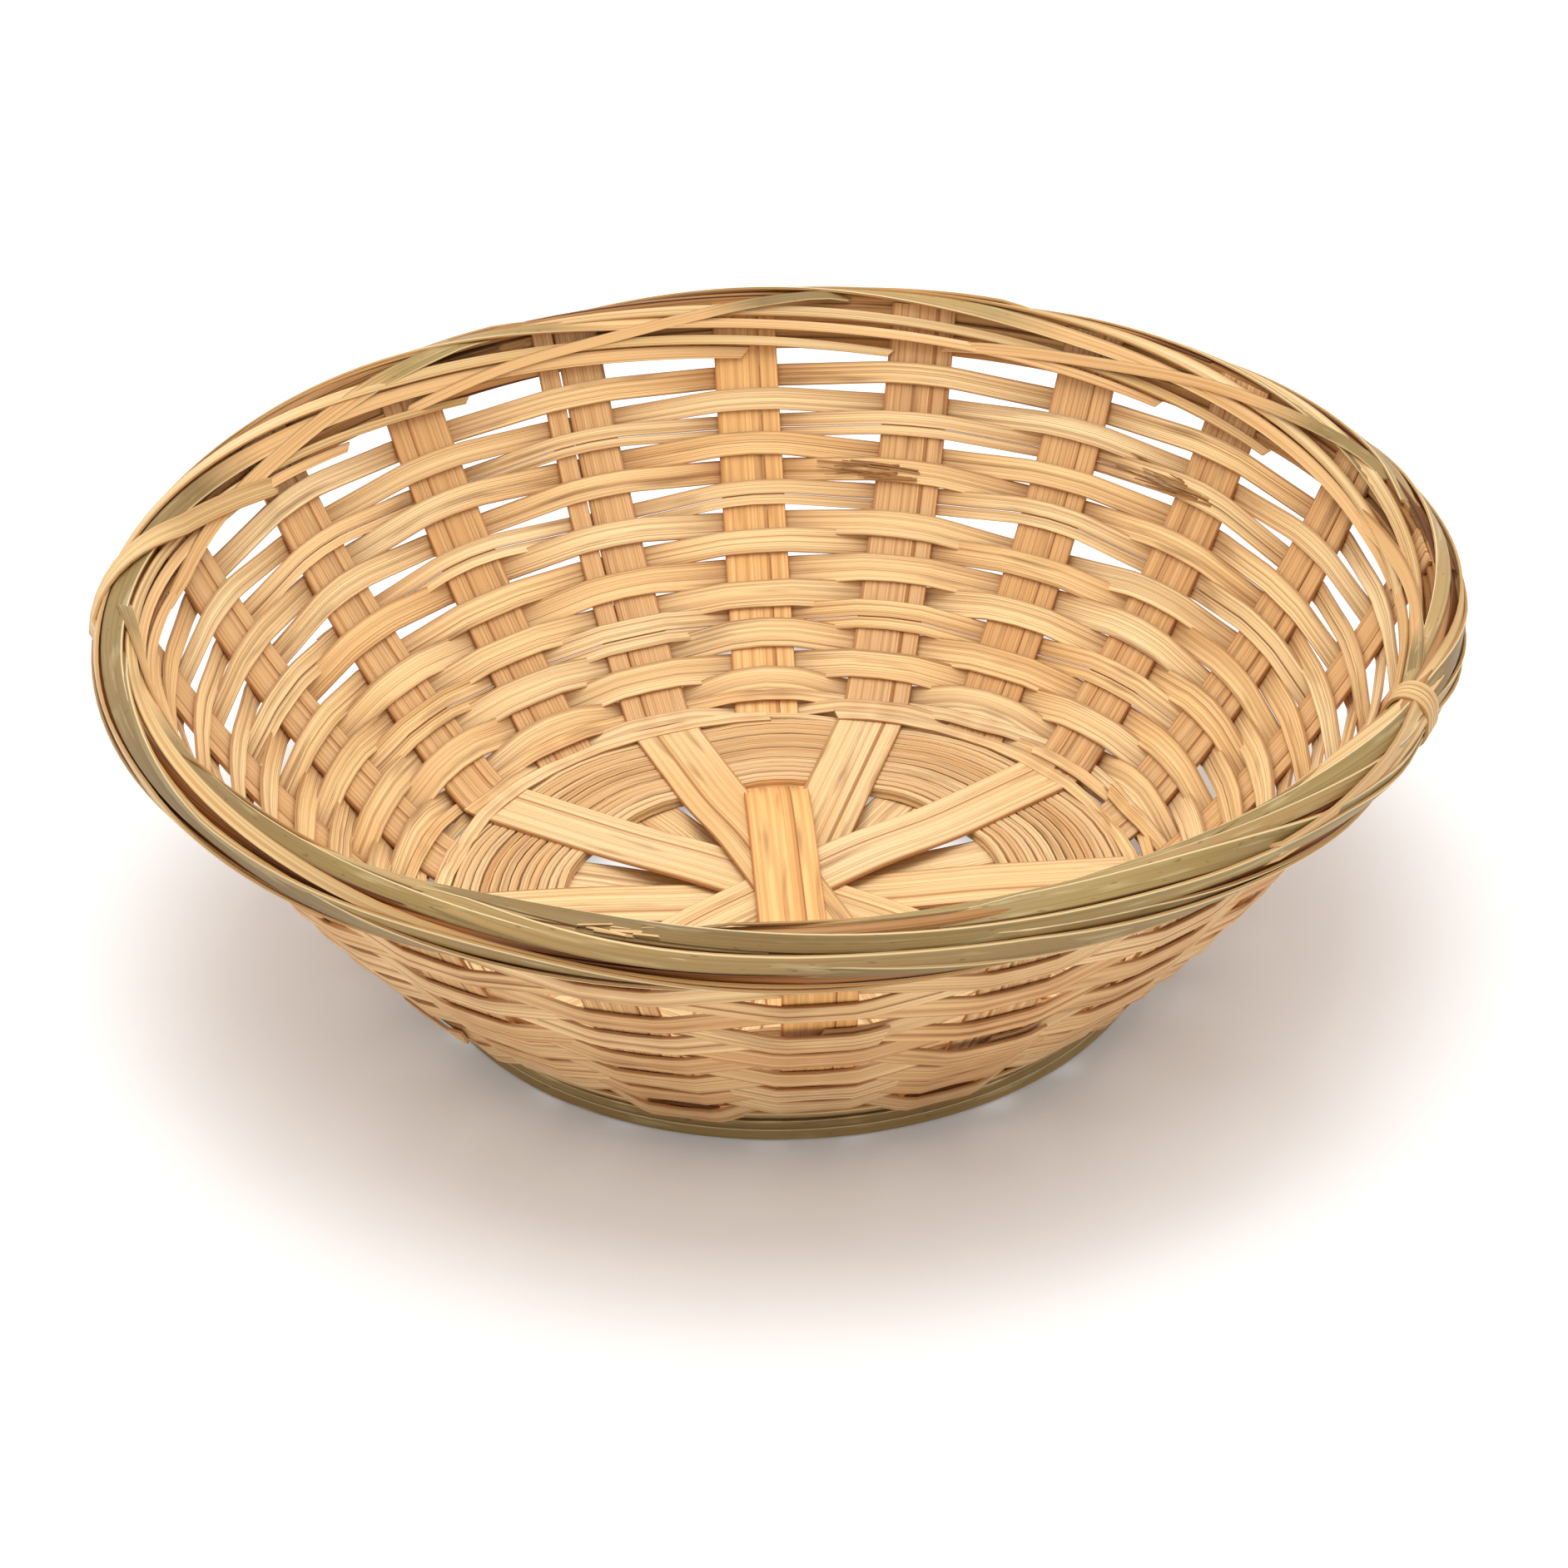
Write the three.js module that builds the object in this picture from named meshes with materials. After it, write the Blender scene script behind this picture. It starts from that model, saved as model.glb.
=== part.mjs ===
// Round woven basket: rim-to-rim spokes crossed as a star, a spiralled base ring,
// plain-woven side rows, a banded border and a flat foot. Millimetres, +Z up,
// origin on the table under the centre of the basket.
import * as THREE from "three";

// Overall size
const RIM_DIAMETER = 203;
const HEIGHT = 64;
const BASE_DIAMETER = 113; // where the spokes turn up into the wall
const RIM_LEAN_DEG = 24; // the stakes' lean from upright at the rim, more lower down

// Spoke strips, each one two wall stakes
const SPOKE_STRIPS = 10;
const SPOKE_WIDTH = 9.6;
const SPOKE_THICKNESS = 0.6;
const FIRST_SPOKE_DEG = 2.5; // heading of the first strip
const LOCK_STRIP = 5; // the strip laid last, on top of the star

// Base ring
const SPLINT_HEIGHT = 1.8;
const SPLINT_THICKNESS = 1.1;
const SPLINT_PITCH = 1.5; // from one round to the next
const SPLINT_PIECES = 3; // long splints that follow one another round the spiral
const RING_LIFT = 1.1; // spokes lie this far above or below the ring's mid-plane

// Side weave
const ROW_COUNT = 14;
const ROW_WIDTH = 3.2;
const ROW_THICKNESS = 0.7;
const ROWS_PER_FACET = 2; // rows that share one straight step of the curved wall

// Border
const HOOP_THICKNESS = 3.4; // at its top, under the crown
const BAND_COUNT = 8;
const BAND_WIDTH = 4.2;
const BAND_THICKNESS = 0.8;
const BORDER_DEPTH = 10; // length of wall that the border covers
const UNDERCUT_DEG = 15; // slope of the border's underside
const LOWER_RADIUS = 3; // rounding between the border's outside and its underside
const TIE_WIDTH = 5;
const TIE_THICKNESS = 0.6;
const TIE_GAP_INDEX = 18; // the space between two stakes that the tie wraps

// Foot
const FOOT_HEIGHT = 4.4;
const FOOT_THICKNESS = 2.4;
const FOOT_BAND_WIDTH = 3.2;

// Clearances
const LAY_GAP = 0.2; // between strips that lie on each other
const HUB_GAP = 0.15; // between strips stacked at the hub
const BAND_GAP = 0.5; // between neighbouring bands of the border
const EDGE_MARGIN = 0.3; // a weaver lies flat this far past a stake's edge
const BUTT_GAP = 0.5; // between splints that follow one another
const DIVE = 4; // room for the lock strip to drop under the ring

// Fits that follow from the sizes
const ENDS = 2 * SPOKE_STRIPS;
const STEP = (2 * Math.PI) / ENDS;
const SPOKE_HALF = SPOKE_THICKNESS / 2;
const BASE_Z = FOOT_HEIGHT + LAY_GAP + SPOKE_HALF + RING_LIFT;
const BASE_RADIUS = BASE_DIAMETER / 2;
const SAME_SIDE_RADIUS = SPOKE_WIDTH / (2 * Math.sin(STEP)); // every second spoke is clear
const CLEAR_RADIUS = SPOKE_WIDTH / (2 * Math.sin(STEP / 2)); // every spoke is clear
const RING_RADIUS = CLEAR_RADIUS + DIVE;
const FLAT_HALF = SPOKE_WIDTH / 2 + EDGE_MARGIN;
const HUB_PITCH = SPOKE_THICKNESS + HUB_GAP;
const ROW_OFFSET = SPOKE_HALF + LAY_GAP + ROW_THICKNESS / 2;
const BAND_INSIDE = SPOKE_HALF + LAY_GAP + BAND_THICKNESS / 2;
const BAND_OUTSIDE = BAND_INSIDE + HOOP_THICKNESS + LAY_GAP;
const CROWN_RADIUS = (BAND_INSIDE + BAND_OUTSIDE) / 2;
const CROWN_SHIFT = (BAND_OUTSIDE - BAND_INSIDE) / 2; // crown's centre, out from the stakes
const CROWN_REACH = Math.hypot(CROWN_RADIUS + BAND_THICKNESS / 2, BAND_WIDTH / 2);
const CROWN_TOP = 0.2 * CROWN_RADIUS; // stakes and hoop end inside the crown
const TIE_PASSAGE = TIE_THICKNESS + 3 * LAY_GAP; // opening under the border for the tie
const BORDER_REACH = BORDER_DEPTH - TIE_PASSAGE - BAND_WIDTH / 2; // bands' lowest centre lines

const weaverWood = { color: 0xe3b877, roughness: 0.6 };
const spokeWood = { color: 0xdcae6c, roughness: 0.62 };
const splintWood = { color: 0xcf9f5e, roughness: 0.65 };
const skinWood = { color: 0xb9a468, roughness: 0.45 };

const basket = new THREE.Group();
basket.name = "round_wicker_basket";

// A closed solid through a row of equal cross-sections, each a ring of points.
function sweep(name, sections, finish, closed = false) {
  const corners = sections[0].length;
  const count = sections.length;
  const index = [];
  const spans = closed ? count : count - 1;
  for (let i = 0; i < spans; i += 1) {
    const near = i * corners;
    const far = ((i + 1) % count) * corners;
    for (let k = 0; k < corners; k += 1) {
      const next = (k + 1) % corners;
      index.push(near + k, near + next, far + next);
      index.push(near + k, far + next, far + k);
    }
  }
  if (!closed) {
    const last = (count - 1) * corners;
    for (let k = 1; k < corners - 1; k += 1) {
      index.push(0, k + 1, k);
      index.push(last, last + k, last + k + 1);
    }
  }
  const geometry = new THREE.BufferGeometry().setFromPoints(sections.flat());
  geometry.setIndex(index);
  geometry.computeVertexNormals();
  const mesh = new THREE.Mesh(geometry, new THREE.MeshStandardMaterial(finish));
  mesh.name = name;
  basket.add(mesh);
}

// A point given along a heading: distance out, distance to its left, height.
function along(heading, out, left, z) {
  const c = Math.cos(heading);
  const s = Math.sin(heading);
  return new THREE.Vector3(out * c - left * s, out * s + left * c, z);
}

const headingOf = (end) => THREE.MathUtils.degToRad(FIRST_SPOKE_DEG) + end * STEP;
const padded = (number) => String(number).padStart(2, "0");
const turned = (v) => new THREE.Vector2(v.y, -v.x); // from up the slope to out of it
const shifted = (point, axis, distance) => point.clone().addScaledVector(axis, distance);

// A flat strip's rectangle in a radial plane: side runs across it, face through it.
function rectangle(centre, side, face, width, thickness) {
  const signs = [
    [-1, -1],
    [1, -1],
    [1, 1],
    [-1, 1],
  ];
  return signs.map(([a, b]) =>
    shifted(shifted(centre, side, (a * width) / 2), face, (b * thickness) / 2),
  );
}

// The stakes' centre surface as a profile of (radius, height), curved from base to border
const rimLean = THREE.MathUtils.degToRad(RIM_LEAN_DEG);
const rimUp = new THREE.Vector2(Math.sin(rimLean), Math.cos(rimLean));
const wallFoot = new THREE.Vector2(BASE_RADIUS, BASE_Z);
const crown = new THREE.Vector2(RIM_DIAMETER / 2 - CROWN_REACH, HEIGHT - CROWN_REACH);
const wallHead = shifted(crown, turned(rimUp), -CROWN_SHIFT);
const wallTurn = shifted(wallHead, rimUp, -wallHead.distanceTo(wallFoot) / 2);
const wall = new THREE.QuadraticBezierCurve(wallFoot, wallTurn, wallHead);
const wallLength = wall.getLength();
const weaveStart = FOOT_BAND_WIDTH + LAY_GAP;
const weaveEnd = wallLength - BORDER_DEPTH;
const rowPitch = (weaveEnd - weaveStart) / ROW_COUNT;
const facetCount = Math.ceil(ROW_COUNT / ROWS_PER_FACET);
const facetMarks = Array.from({ length: facetCount }, (_, i) =>
  Math.min(weaveStart + (i + 1) * ROWS_PER_FACET * rowPitch, weaveEnd),
);
const wallMarks = [0, weaveStart, ...facetMarks, wallLength];
const wallPoints = wallMarks.map((mark) => wall.getPointAt(mark / wallLength));

// Where a strip lies on the faceted wall: its point, up the slope and out of it.
function onWall(mark) {
  let facet = wallMarks.findIndex((m, i) => i > 0 && mark <= m);
  if (facet < 0) {
    facet = wallMarks.length - 1;
  }
  const from = wallPoints[facet - 1];
  const up = wallPoints[facet].clone().sub(from).normalize();
  return { point: shifted(from, up, mark - wallMarks[facet - 1]), up, out: turned(up) };
}

// Spokes
function starLevel(strip) {
  const half = SPOKE_STRIPS / 2;
  if (strip === LOCK_STRIP) {
    return (half + 0.5) * HUB_PITCH;
  }
  const order = (3 * Math.floor(strip / 2)) % half;
  return (strip % 2 === 0 ? 1 : -1) * (order + 0.5) * HUB_PITCH;
}

function spokeProfile(strip) {
  const over = strip % 2 === 0;
  const ringZ = BASE_Z + (over ? RING_LIFT : -RING_LIFT);
  const starZ = BASE_Z + starLevel(strip);
  const clearZ = strip === LOCK_STRIP ? BASE_Z + RING_LIFT + HUB_PITCH : ringZ;
  const first = onWall(0);
  const turn = shifted(first.point, first.up, (ringZ - BASE_Z) / first.up.y);
  const ringEnd = new THREE.Vector2(turn.x - weaveStart, ringZ);
  const corner = new THREE.QuadraticBezierCurve(ringEnd, turn, wallPoints[1]);
  const tip = shifted(wallHead, onWall(wallLength).up, CROWN_TOP);
  return [
    new THREE.Vector2(SAME_SIDE_RADIUS, starZ),
    new THREE.Vector2(CLEAR_RADIUS, clearZ),
    new THREE.Vector2(RING_RADIUS - SPLINT_THICKNESS, ringZ),
    ...corner.getPoints(3),
    ...wallPoints.slice(2, -1),
    tip,
  ];
}

// Cross-sections of a strip that follows a path of (distance, height) along a heading.
function mitred(path, heading, width, thickness, closed = false) {
  const count = path.length;
  const across = along(heading, 0, 1, 0);
  return path.map((point, i) => {
    const before = closed ? path[(i + count - 1) % count] : path[Math.max(i - 1, 0)];
    const after = closed ? path[(i + 1) % count] : path[Math.min(i + 1, count - 1)];
    const into = point.clone().sub(before).normalize();
    const away = after.clone().sub(point).normalize();
    const course = into.clone().add(away).normalize();
    const bend = Math.max(course.dot(into), course.dot(away));
    const face = along(heading, -course.y, 0, course.x).divideScalar(bend);
    return rectangle(along(heading, point.x, 0, point.y), across, face, width, thickness);
  });
}

function makeSpoke(strip) {
  const half = spokeProfile(strip);
  const far = half.map((p) => new THREE.Vector2(-p.x, p.y)).reverse();
  const path = [...far, ...half];
  const sections = mitred(path, headingOf(strip), SPOKE_WIDTH, SPOKE_THICKNESS);
  sweep("spoke_strip_" + padded(strip + 1), sections, spokeWood);
}

// Base ring: the splints cross every spoke flat and change level between them
const ringRounds = Math.floor((BASE_RADIUS - weaveStart - RING_RADIUS) / SPLINT_PITCH);
const ringVisits = ringRounds * ENDS;
const splintLift = SPOKE_HALF + LAY_GAP + SPLINT_HEIGHT / 2 - RING_LIFT;

function splintSection(visit, left) {
  const out = RING_RADIUS + (SPLINT_PITCH * visit) / ENDS;
  const z = BASE_Z + (visit % 2 === 0 ? -splintLift : splintLift);
  const heading = headingOf(visit);
  const centre = along(heading, out, left, z);
  const up = new THREE.Vector3(0, 0, 1);
  const face = along(heading, 1, 0, 0);
  return rectangle(centre, up, face, SPLINT_HEIGHT, SPLINT_THICKNESS);
}

function makeSplint(piece) {
  const share = 2 * Math.floor(ringVisits / (2 * SPLINT_PIECES));
  const first = piece * share;
  const last = piece === SPLINT_PIECES - 1 ? ringVisits : first + share;
  const sections = [];
  for (let visit = first; visit <= last; visit += 1) {
    if (visit > first) {
      sections.push(splintSection(visit, -FLAT_HALF));
    }
    if (visit === first) {
      sections.push(splintSection(visit, BUTT_GAP / 2));
    }
    const end = visit === last ? -BUTT_GAP / 2 : FLAT_HALF;
    sections.push(splintSection(visit, end));
  }
  sweep("base_splint_" + padded(piece + 1), sections, splintWood);
}

// Side rows: an open strip that starts and ends outside the same stake, one end on the other
function rowSection(row, end, left, extra) {
  const place = onWall(weaveStart + (row + 0.5) * rowPitch);
  const outside = (row + end) % 2 === 0;
  const offset = (outside ? ROW_OFFSET : -ROW_OFFSET) + extra;
  const point = shifted(place.point, place.out, offset);
  const heading = headingOf(end);
  const side = along(heading, place.up.x, 0, place.up.y);
  const face = along(heading, place.out.x, 0, place.out.y);
  const centre = along(heading, point.x, left, point.y);
  return rectangle(centre, side, face, ROW_WIDTH, ROW_THICKNESS);
}

function makeRow(row) {
  const start = 6 * row + (row % 2); // the lap moves round from row to row
  const sections = [];
  for (let visit = 0; visit <= ENDS; visit += 1) {
    const extra = visit === ENDS ? ROW_THICKNESS + LAY_GAP : 0;
    sections.push(rowSection(row, start + visit, -FLAT_HALF, extra));
    sections.push(rowSection(row, start + visit, FLAT_HALF, extra));
  }
  sweep("side_weaver_" + padded(row + 1), sections, weaverWood);
}

// Rings whose flats face the stakes: corners lie a quarter step to each side of a stake
const CORNER = STEP / 4;
const cornerHeading = (corner) => headingOf(0) + CORNER * (2 * corner + 1);

function ringSection(corner, point, up, out, width, thickness) {
  const flat = 1 / Math.cos(CORNER);
  return rectangle(point, up, out, width, thickness).map((p) =>
    along(cornerHeading(corner), p.x * flat, 0, p.y),
  );
}

function makeRing(name, place, width, thickness, finish) {
  const sections = [];
  for (let corner = 0; corner < 2 * ENDS; corner += 1) {
    sections.push(ringSection(corner, place.point, place.up, place.out, width, thickness));
  }
  sweep(name, sections, finish, true);
}

// Border: the outline that the bands follow, from inside bottom over the crown and down the
// outside to the underside, as straight and rounded pieces that turn one way
const borderLine = onWall(wallLength);
const crownCentre = shifted(wallHead, borderLine.out, CROWN_SHIFT);
const borderFoot = shifted(
  shifted(wallHead, borderLine.up, -BORDER_REACH),
  borderLine.out,
  BAND_INSIDE,
);
const undercut = THREE.MathUtils.degToRad(UNDERCUT_DEG);
const undercutRun = crownCentre.x + CROWN_RADIUS - borderFoot.x;
const lowerTurn = Math.PI / 2 - undercut;
const lowerTangent = LOWER_RADIUS * Math.tan(lowerTurn / 2);
const crownTurn = borderLine.up.angle() + Math.PI / 2;
const borderFall = crownCentre.y - borderFoot.y - undercutRun * Math.tan(undercut);
const borderPieces = [
  { length: BORDER_REACH, turn: 0 },
  { length: CROWN_RADIUS * crownTurn, turn: crownTurn },
  { length: borderFall - lowerTangent, turn: 0 },
  { length: LOWER_RADIUS * lowerTurn, turn: lowerTurn },
  { length: undercutRun / Math.cos(undercut) - lowerTangent - BAND_WIDTH / 2, turn: 0 },
];
const courseLength = borderPieces.reduce((sum, piece) => sum + piece.length, 0);
const bandStagger = (2 * ENDS) / BAND_COUNT; // corners from one band's start to the next
const bandTurns = Math.floor((courseLength * bandStagger) / (BAND_WIDTH + BAND_GAP));

function onBorder(course) {
  const insideBottom = shifted(wallHead, borderLine.up, -BORDER_REACH);
  const point = shifted(insideBottom, borderLine.out, -BAND_INSIDE);
  const direction = (angle) => new THREE.Vector2(Math.cos(angle), Math.sin(angle));
  let bearing = borderLine.up.angle();
  let left = course;
  for (const { length, turn } of borderPieces) {
    const run = Math.min(left, length);
    const bend = (turn * run) / length;
    const chord = turn > 0 ? (2 * length * Math.sin(bend / 2)) / turn : run;
    point.addScaledVector(direction(bearing - bend / 2), chord);
    bearing -= bend;
    left -= run;
  }
  return {
    point,
    side: direction(bearing).negate(),
    face: direction(bearing + Math.PI / 2),
  };
}

function makeBand(band) {
  const start = band * bandStagger;
  const first = Math.ceil(start);
  const sections = [];
  for (let corner = first; corner < first + bandTurns; corner += 1) {
    const share = (corner - start) / bandTurns;
    const { point, side, face } = onBorder(share * courseLength);
    sections.push(ringSection(corner, point, side, face, BAND_WIDTH, BAND_THICKNESS));
  }
  sweep("rim_band_" + (band + 1), sections, skinWood);
}

function makeTie() {
  const clear = CROWN_REACH - CROWN_RADIUS + 2 * LAY_GAP + TIE_THICKNESS / 2;
  const stations = Array.from({ length: 15 }, (_, i) => i / 14);
  const path = stations.map((share) => {
    const { point, face } = onBorder(share * courseLength);
    return shifted(point, face, clear);
  });
  const passage = onWall(weaveEnd + TIE_PASSAGE / 2);
  path.push(shifted(passage.point, passage.out, ROW_OFFSET));
  path.push(shifted(passage.point, passage.out, -ROW_OFFSET));
  const heading = headingOf(TIE_GAP_INDEX + 0.5);
  const sections = mitred(path, heading, TIE_WIDTH, TIE_THICKNESS, true);
  sweep("rim_tie", sections, skinWood, true);
}

// The hoop fills the border between the stakes and the bands outside them
function makeHoop() {
  const { up, out } = borderLine;
  const inner = SPOKE_HALF + LAY_GAP;
  const inset = -(BAND_THICKNESS / 2 + LAY_GAP);
  const marks = [0, 0, 0, 1, 1].map((share, i) => {
    const before = borderPieces.slice(0, i).reduce((sum, piece) => sum + piece.length, 0);
    return before + share * borderPieces[i].length;
  });
  const outline = [marks[2], marks[3], marks[4]].map((course) => {
    const { point, face } = onBorder(course);
    return shifted(point, face, inset);
  });
  const top = shifted(shifted(wallHead, out, inner), up, CROWN_TOP);
  const depth = outline[2].clone().sub(top).dot(up);
  const bottom = shifted(top, up, depth);
  const profile = [bottom, top, ...outline];
  const flat = 1 / Math.cos(CORNER);
  const sections = [];
  for (let corner = 0; corner < 2 * ENDS; corner += 1) {
    sections.push(profile.map((p) => along(cornerHeading(corner), p.x * flat, 0, p.y)));
  }
  sweep("rim_hoop", sections, weaverWood, true);
}

// Foot: an upright hoop under the spokes' turn, one band round it and one round the turn
function makeFoot() {
  const upright = { up: new THREE.Vector2(0, 1), out: new THREE.Vector2(1, 0) };
  const hoopRadius = BASE_RADIUS - weaveStart / 2 - FOOT_THICKNESS / 2;
  const hoop = new THREE.Vector2(hoopRadius, FOOT_HEIGHT / 2);
  makeRing("foot_hoop", { ...upright, point: hoop }, FOOT_HEIGHT, FOOT_THICKNESS, skinWood);
  const bandRadius = hoopRadius + FOOT_THICKNESS / 2 + LAY_GAP + BAND_THICKNESS / 2;
  const lower = new THREE.Vector2(bandRadius, LAY_GAP + FOOT_BAND_WIDTH / 2);
  makeRing(
    "foot_band_lower",
    { ...upright, point: lower },
    FOOT_BAND_WIDTH,
    BAND_THICKNESS,
    skinWood,
  );
  const slope = onWall(weaveStart / 2);
  const upper = shifted(slope.point, slope.out, BAND_INSIDE);
  makeRing(
    "foot_band_upper",
    { ...slope, point: upper },
    FOOT_BAND_WIDTH,
    BAND_THICKNESS,
    skinWood,
  );
}

for (let strip = 0; strip < SPOKE_STRIPS; strip += 1) {
  makeSpoke(strip);
}
for (let piece = 0; piece < SPLINT_PIECES; piece += 1) {
  makeSplint(piece);
}
for (let row = 0; row < ROW_COUNT; row += 1) {
  makeRow(row);
}
makeHoop();
for (let band = 0; band < BAND_COUNT; band += 1) {
  makeBand(band);
}
makeTie();
makeFoot();

export default basket;
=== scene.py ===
"""Looks of a round woven bamboo basket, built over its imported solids."""

import logging
import math
import random
from dataclasses import dataclass, field, replace
from enum import Enum, IntEnum
from functools import cached_property
from typing import Sequence

import bmesh
import bpy
from bpy.types import Material, Node, NodeSocket, NodeTree
from mathutils import Matrix, Quaternion, Vector
from mathutils.geometry import interpolate_bezier


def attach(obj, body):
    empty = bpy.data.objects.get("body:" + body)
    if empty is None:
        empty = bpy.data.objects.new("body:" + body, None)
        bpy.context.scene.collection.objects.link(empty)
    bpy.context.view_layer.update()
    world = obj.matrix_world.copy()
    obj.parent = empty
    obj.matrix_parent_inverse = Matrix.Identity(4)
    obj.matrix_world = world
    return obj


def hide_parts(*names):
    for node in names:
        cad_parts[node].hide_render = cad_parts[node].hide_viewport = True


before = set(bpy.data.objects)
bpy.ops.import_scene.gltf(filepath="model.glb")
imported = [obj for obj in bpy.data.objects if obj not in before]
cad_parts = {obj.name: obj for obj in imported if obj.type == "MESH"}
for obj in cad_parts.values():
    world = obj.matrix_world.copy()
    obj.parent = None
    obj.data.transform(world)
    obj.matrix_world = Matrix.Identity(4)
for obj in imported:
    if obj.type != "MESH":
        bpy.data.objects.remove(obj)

LOG = logging.getLogger("basket")
MM = 0.001
BODY = "root"
GRAIN_MAP = "grain"  # metres along a strip and across it
PLACE_MAP = "place"  # share across a strip, and how browned it is (ageing, or dust and painted shade on the weavers) or how far along the border's outline
STRIP_SHIFT = 41 * MM  # from one strip to the next in the grain, so that no two look alike
SHARP_ANGLE = math.radians(30)
NEAR_WHOLE = 0.99  # an edge runs along an axis if this share of its length does
Range = tuple[float, float]  # its two ends
UP: Range = (0.0, 1.0)
DOWN: Range = (1.0, 0.0)


class Slot(Enum):
    """The record's material slots."""

    SPOKE = "spoke_bamboo"
    WEAVER = "weaver_bamboo"
    SPLINT = "splint_bamboo"
    SKIN = "skin_bamboo"


class Face(Enum):
    """A piece's finishes: strips' show faces, their backs and cut edges, and browned strips."""

    SHOW = 0
    BACK = 1
    DARK = 2


BROWNED = {"show": Face.DARK, "back": Face.DARK}  # faces of a strip that is browned all round


class Grain(IntEnum):
    """Number of the first strip of each kind; its number sets which part of the grain a strip shows."""

    SPOKE = 0
    SPLINT = 40
    ROW = 60
    CORNER = 80
    CORE = 90
    UNDER = 100
    BAND = 110
    TIE = 140
    TAIL = 144
    FOOT = 150
    SLIVER = 170
    STRAY = 190
    SHAVING = 191
    FIBRE = 200


def linear(code: str) -> tuple[float, float, float, float]:
    """Turns an sRGB hex colour into linear light.

    Args:
        code: Six hex digits, with or without a leading hash.

    Returns:
        Linear red, green and blue, and an alpha of 1.
    """
    shares = [int(code.lstrip("#")[i : i + 2], 16) / 255 for i in (0, 2, 4)]
    bright = [s / 12.92 if s <= 0.04045 else ((s + 0.055) / 1.055) ** 2.4 for s in shares]
    return (*bright, 1.0)


def add(tree: NodeTree, kind: str, inputs: dict | None = None, **settings: object) -> Node:
    """Adds a node to a tree, with its settings, and sets or links its inputs.

    Args:
        tree: The tree that gets the node.
        kind: The node's type.
        inputs: Socket name or number to a value, or to the output that feeds it.
        settings: The node's own properties.

    Returns:
        The new node.
    """
    made = tree.nodes.new(kind)
    for name, value in settings.items():
        setattr(made, name, value)
    for key, value in (inputs or {}).items():
        if isinstance(value, NodeSocket):
            tree.links.new(value, made.inputs[key])
        else:
            made.inputs[key].default_value = value
    return made


def limits(value: NodeSocket, start: Range, end: Range = UP) -> dict[str, object]:
    """Gives the inputs that stretch a value from one range to another, and keep it inside."""
    names = ("From Min", "From Max", "To Min", "To Max")
    return {"Value": value, **dict(zip(names, (*start, *end)))}


def along(heading: float, out: float, left: float, z: float) -> Vector:
    """Gives the point a distance out along a heading, a distance to its left, at a height."""
    c, s = math.cos(heading), math.sin(heading)
    return Vector((out * c - left * s, out * s + left * c, z))


def turned(way: Vector) -> Vector:
    """Turns a direction of radius and height from up a slope to out of it."""
    return Vector((way.y, -way.x))


def bent(first: Vector, turn: Vector, last: Vector, count: int) -> list[Vector]:
    """Draws a line that sets out towards a turning point and comes to its end from there.

    Args:
        first: Where it starts.
        turn: The turning point, which it rounds off.
        last: Where it ends.
        count: How many points it gets.

    Returns:
        The points.
    """
    pull = 2 / 3  # gives the curve of one turning point, drawn with two handles
    return interpolate_bezier(first, first.lerp(turn, pull), last.lerp(turn, pull), last, count)


def clamp(value: float, most: float = 1.0) -> float:
    """Keeps a value between 0 and the most that it may be."""
    return max(0.0, min(most, value))


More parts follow.
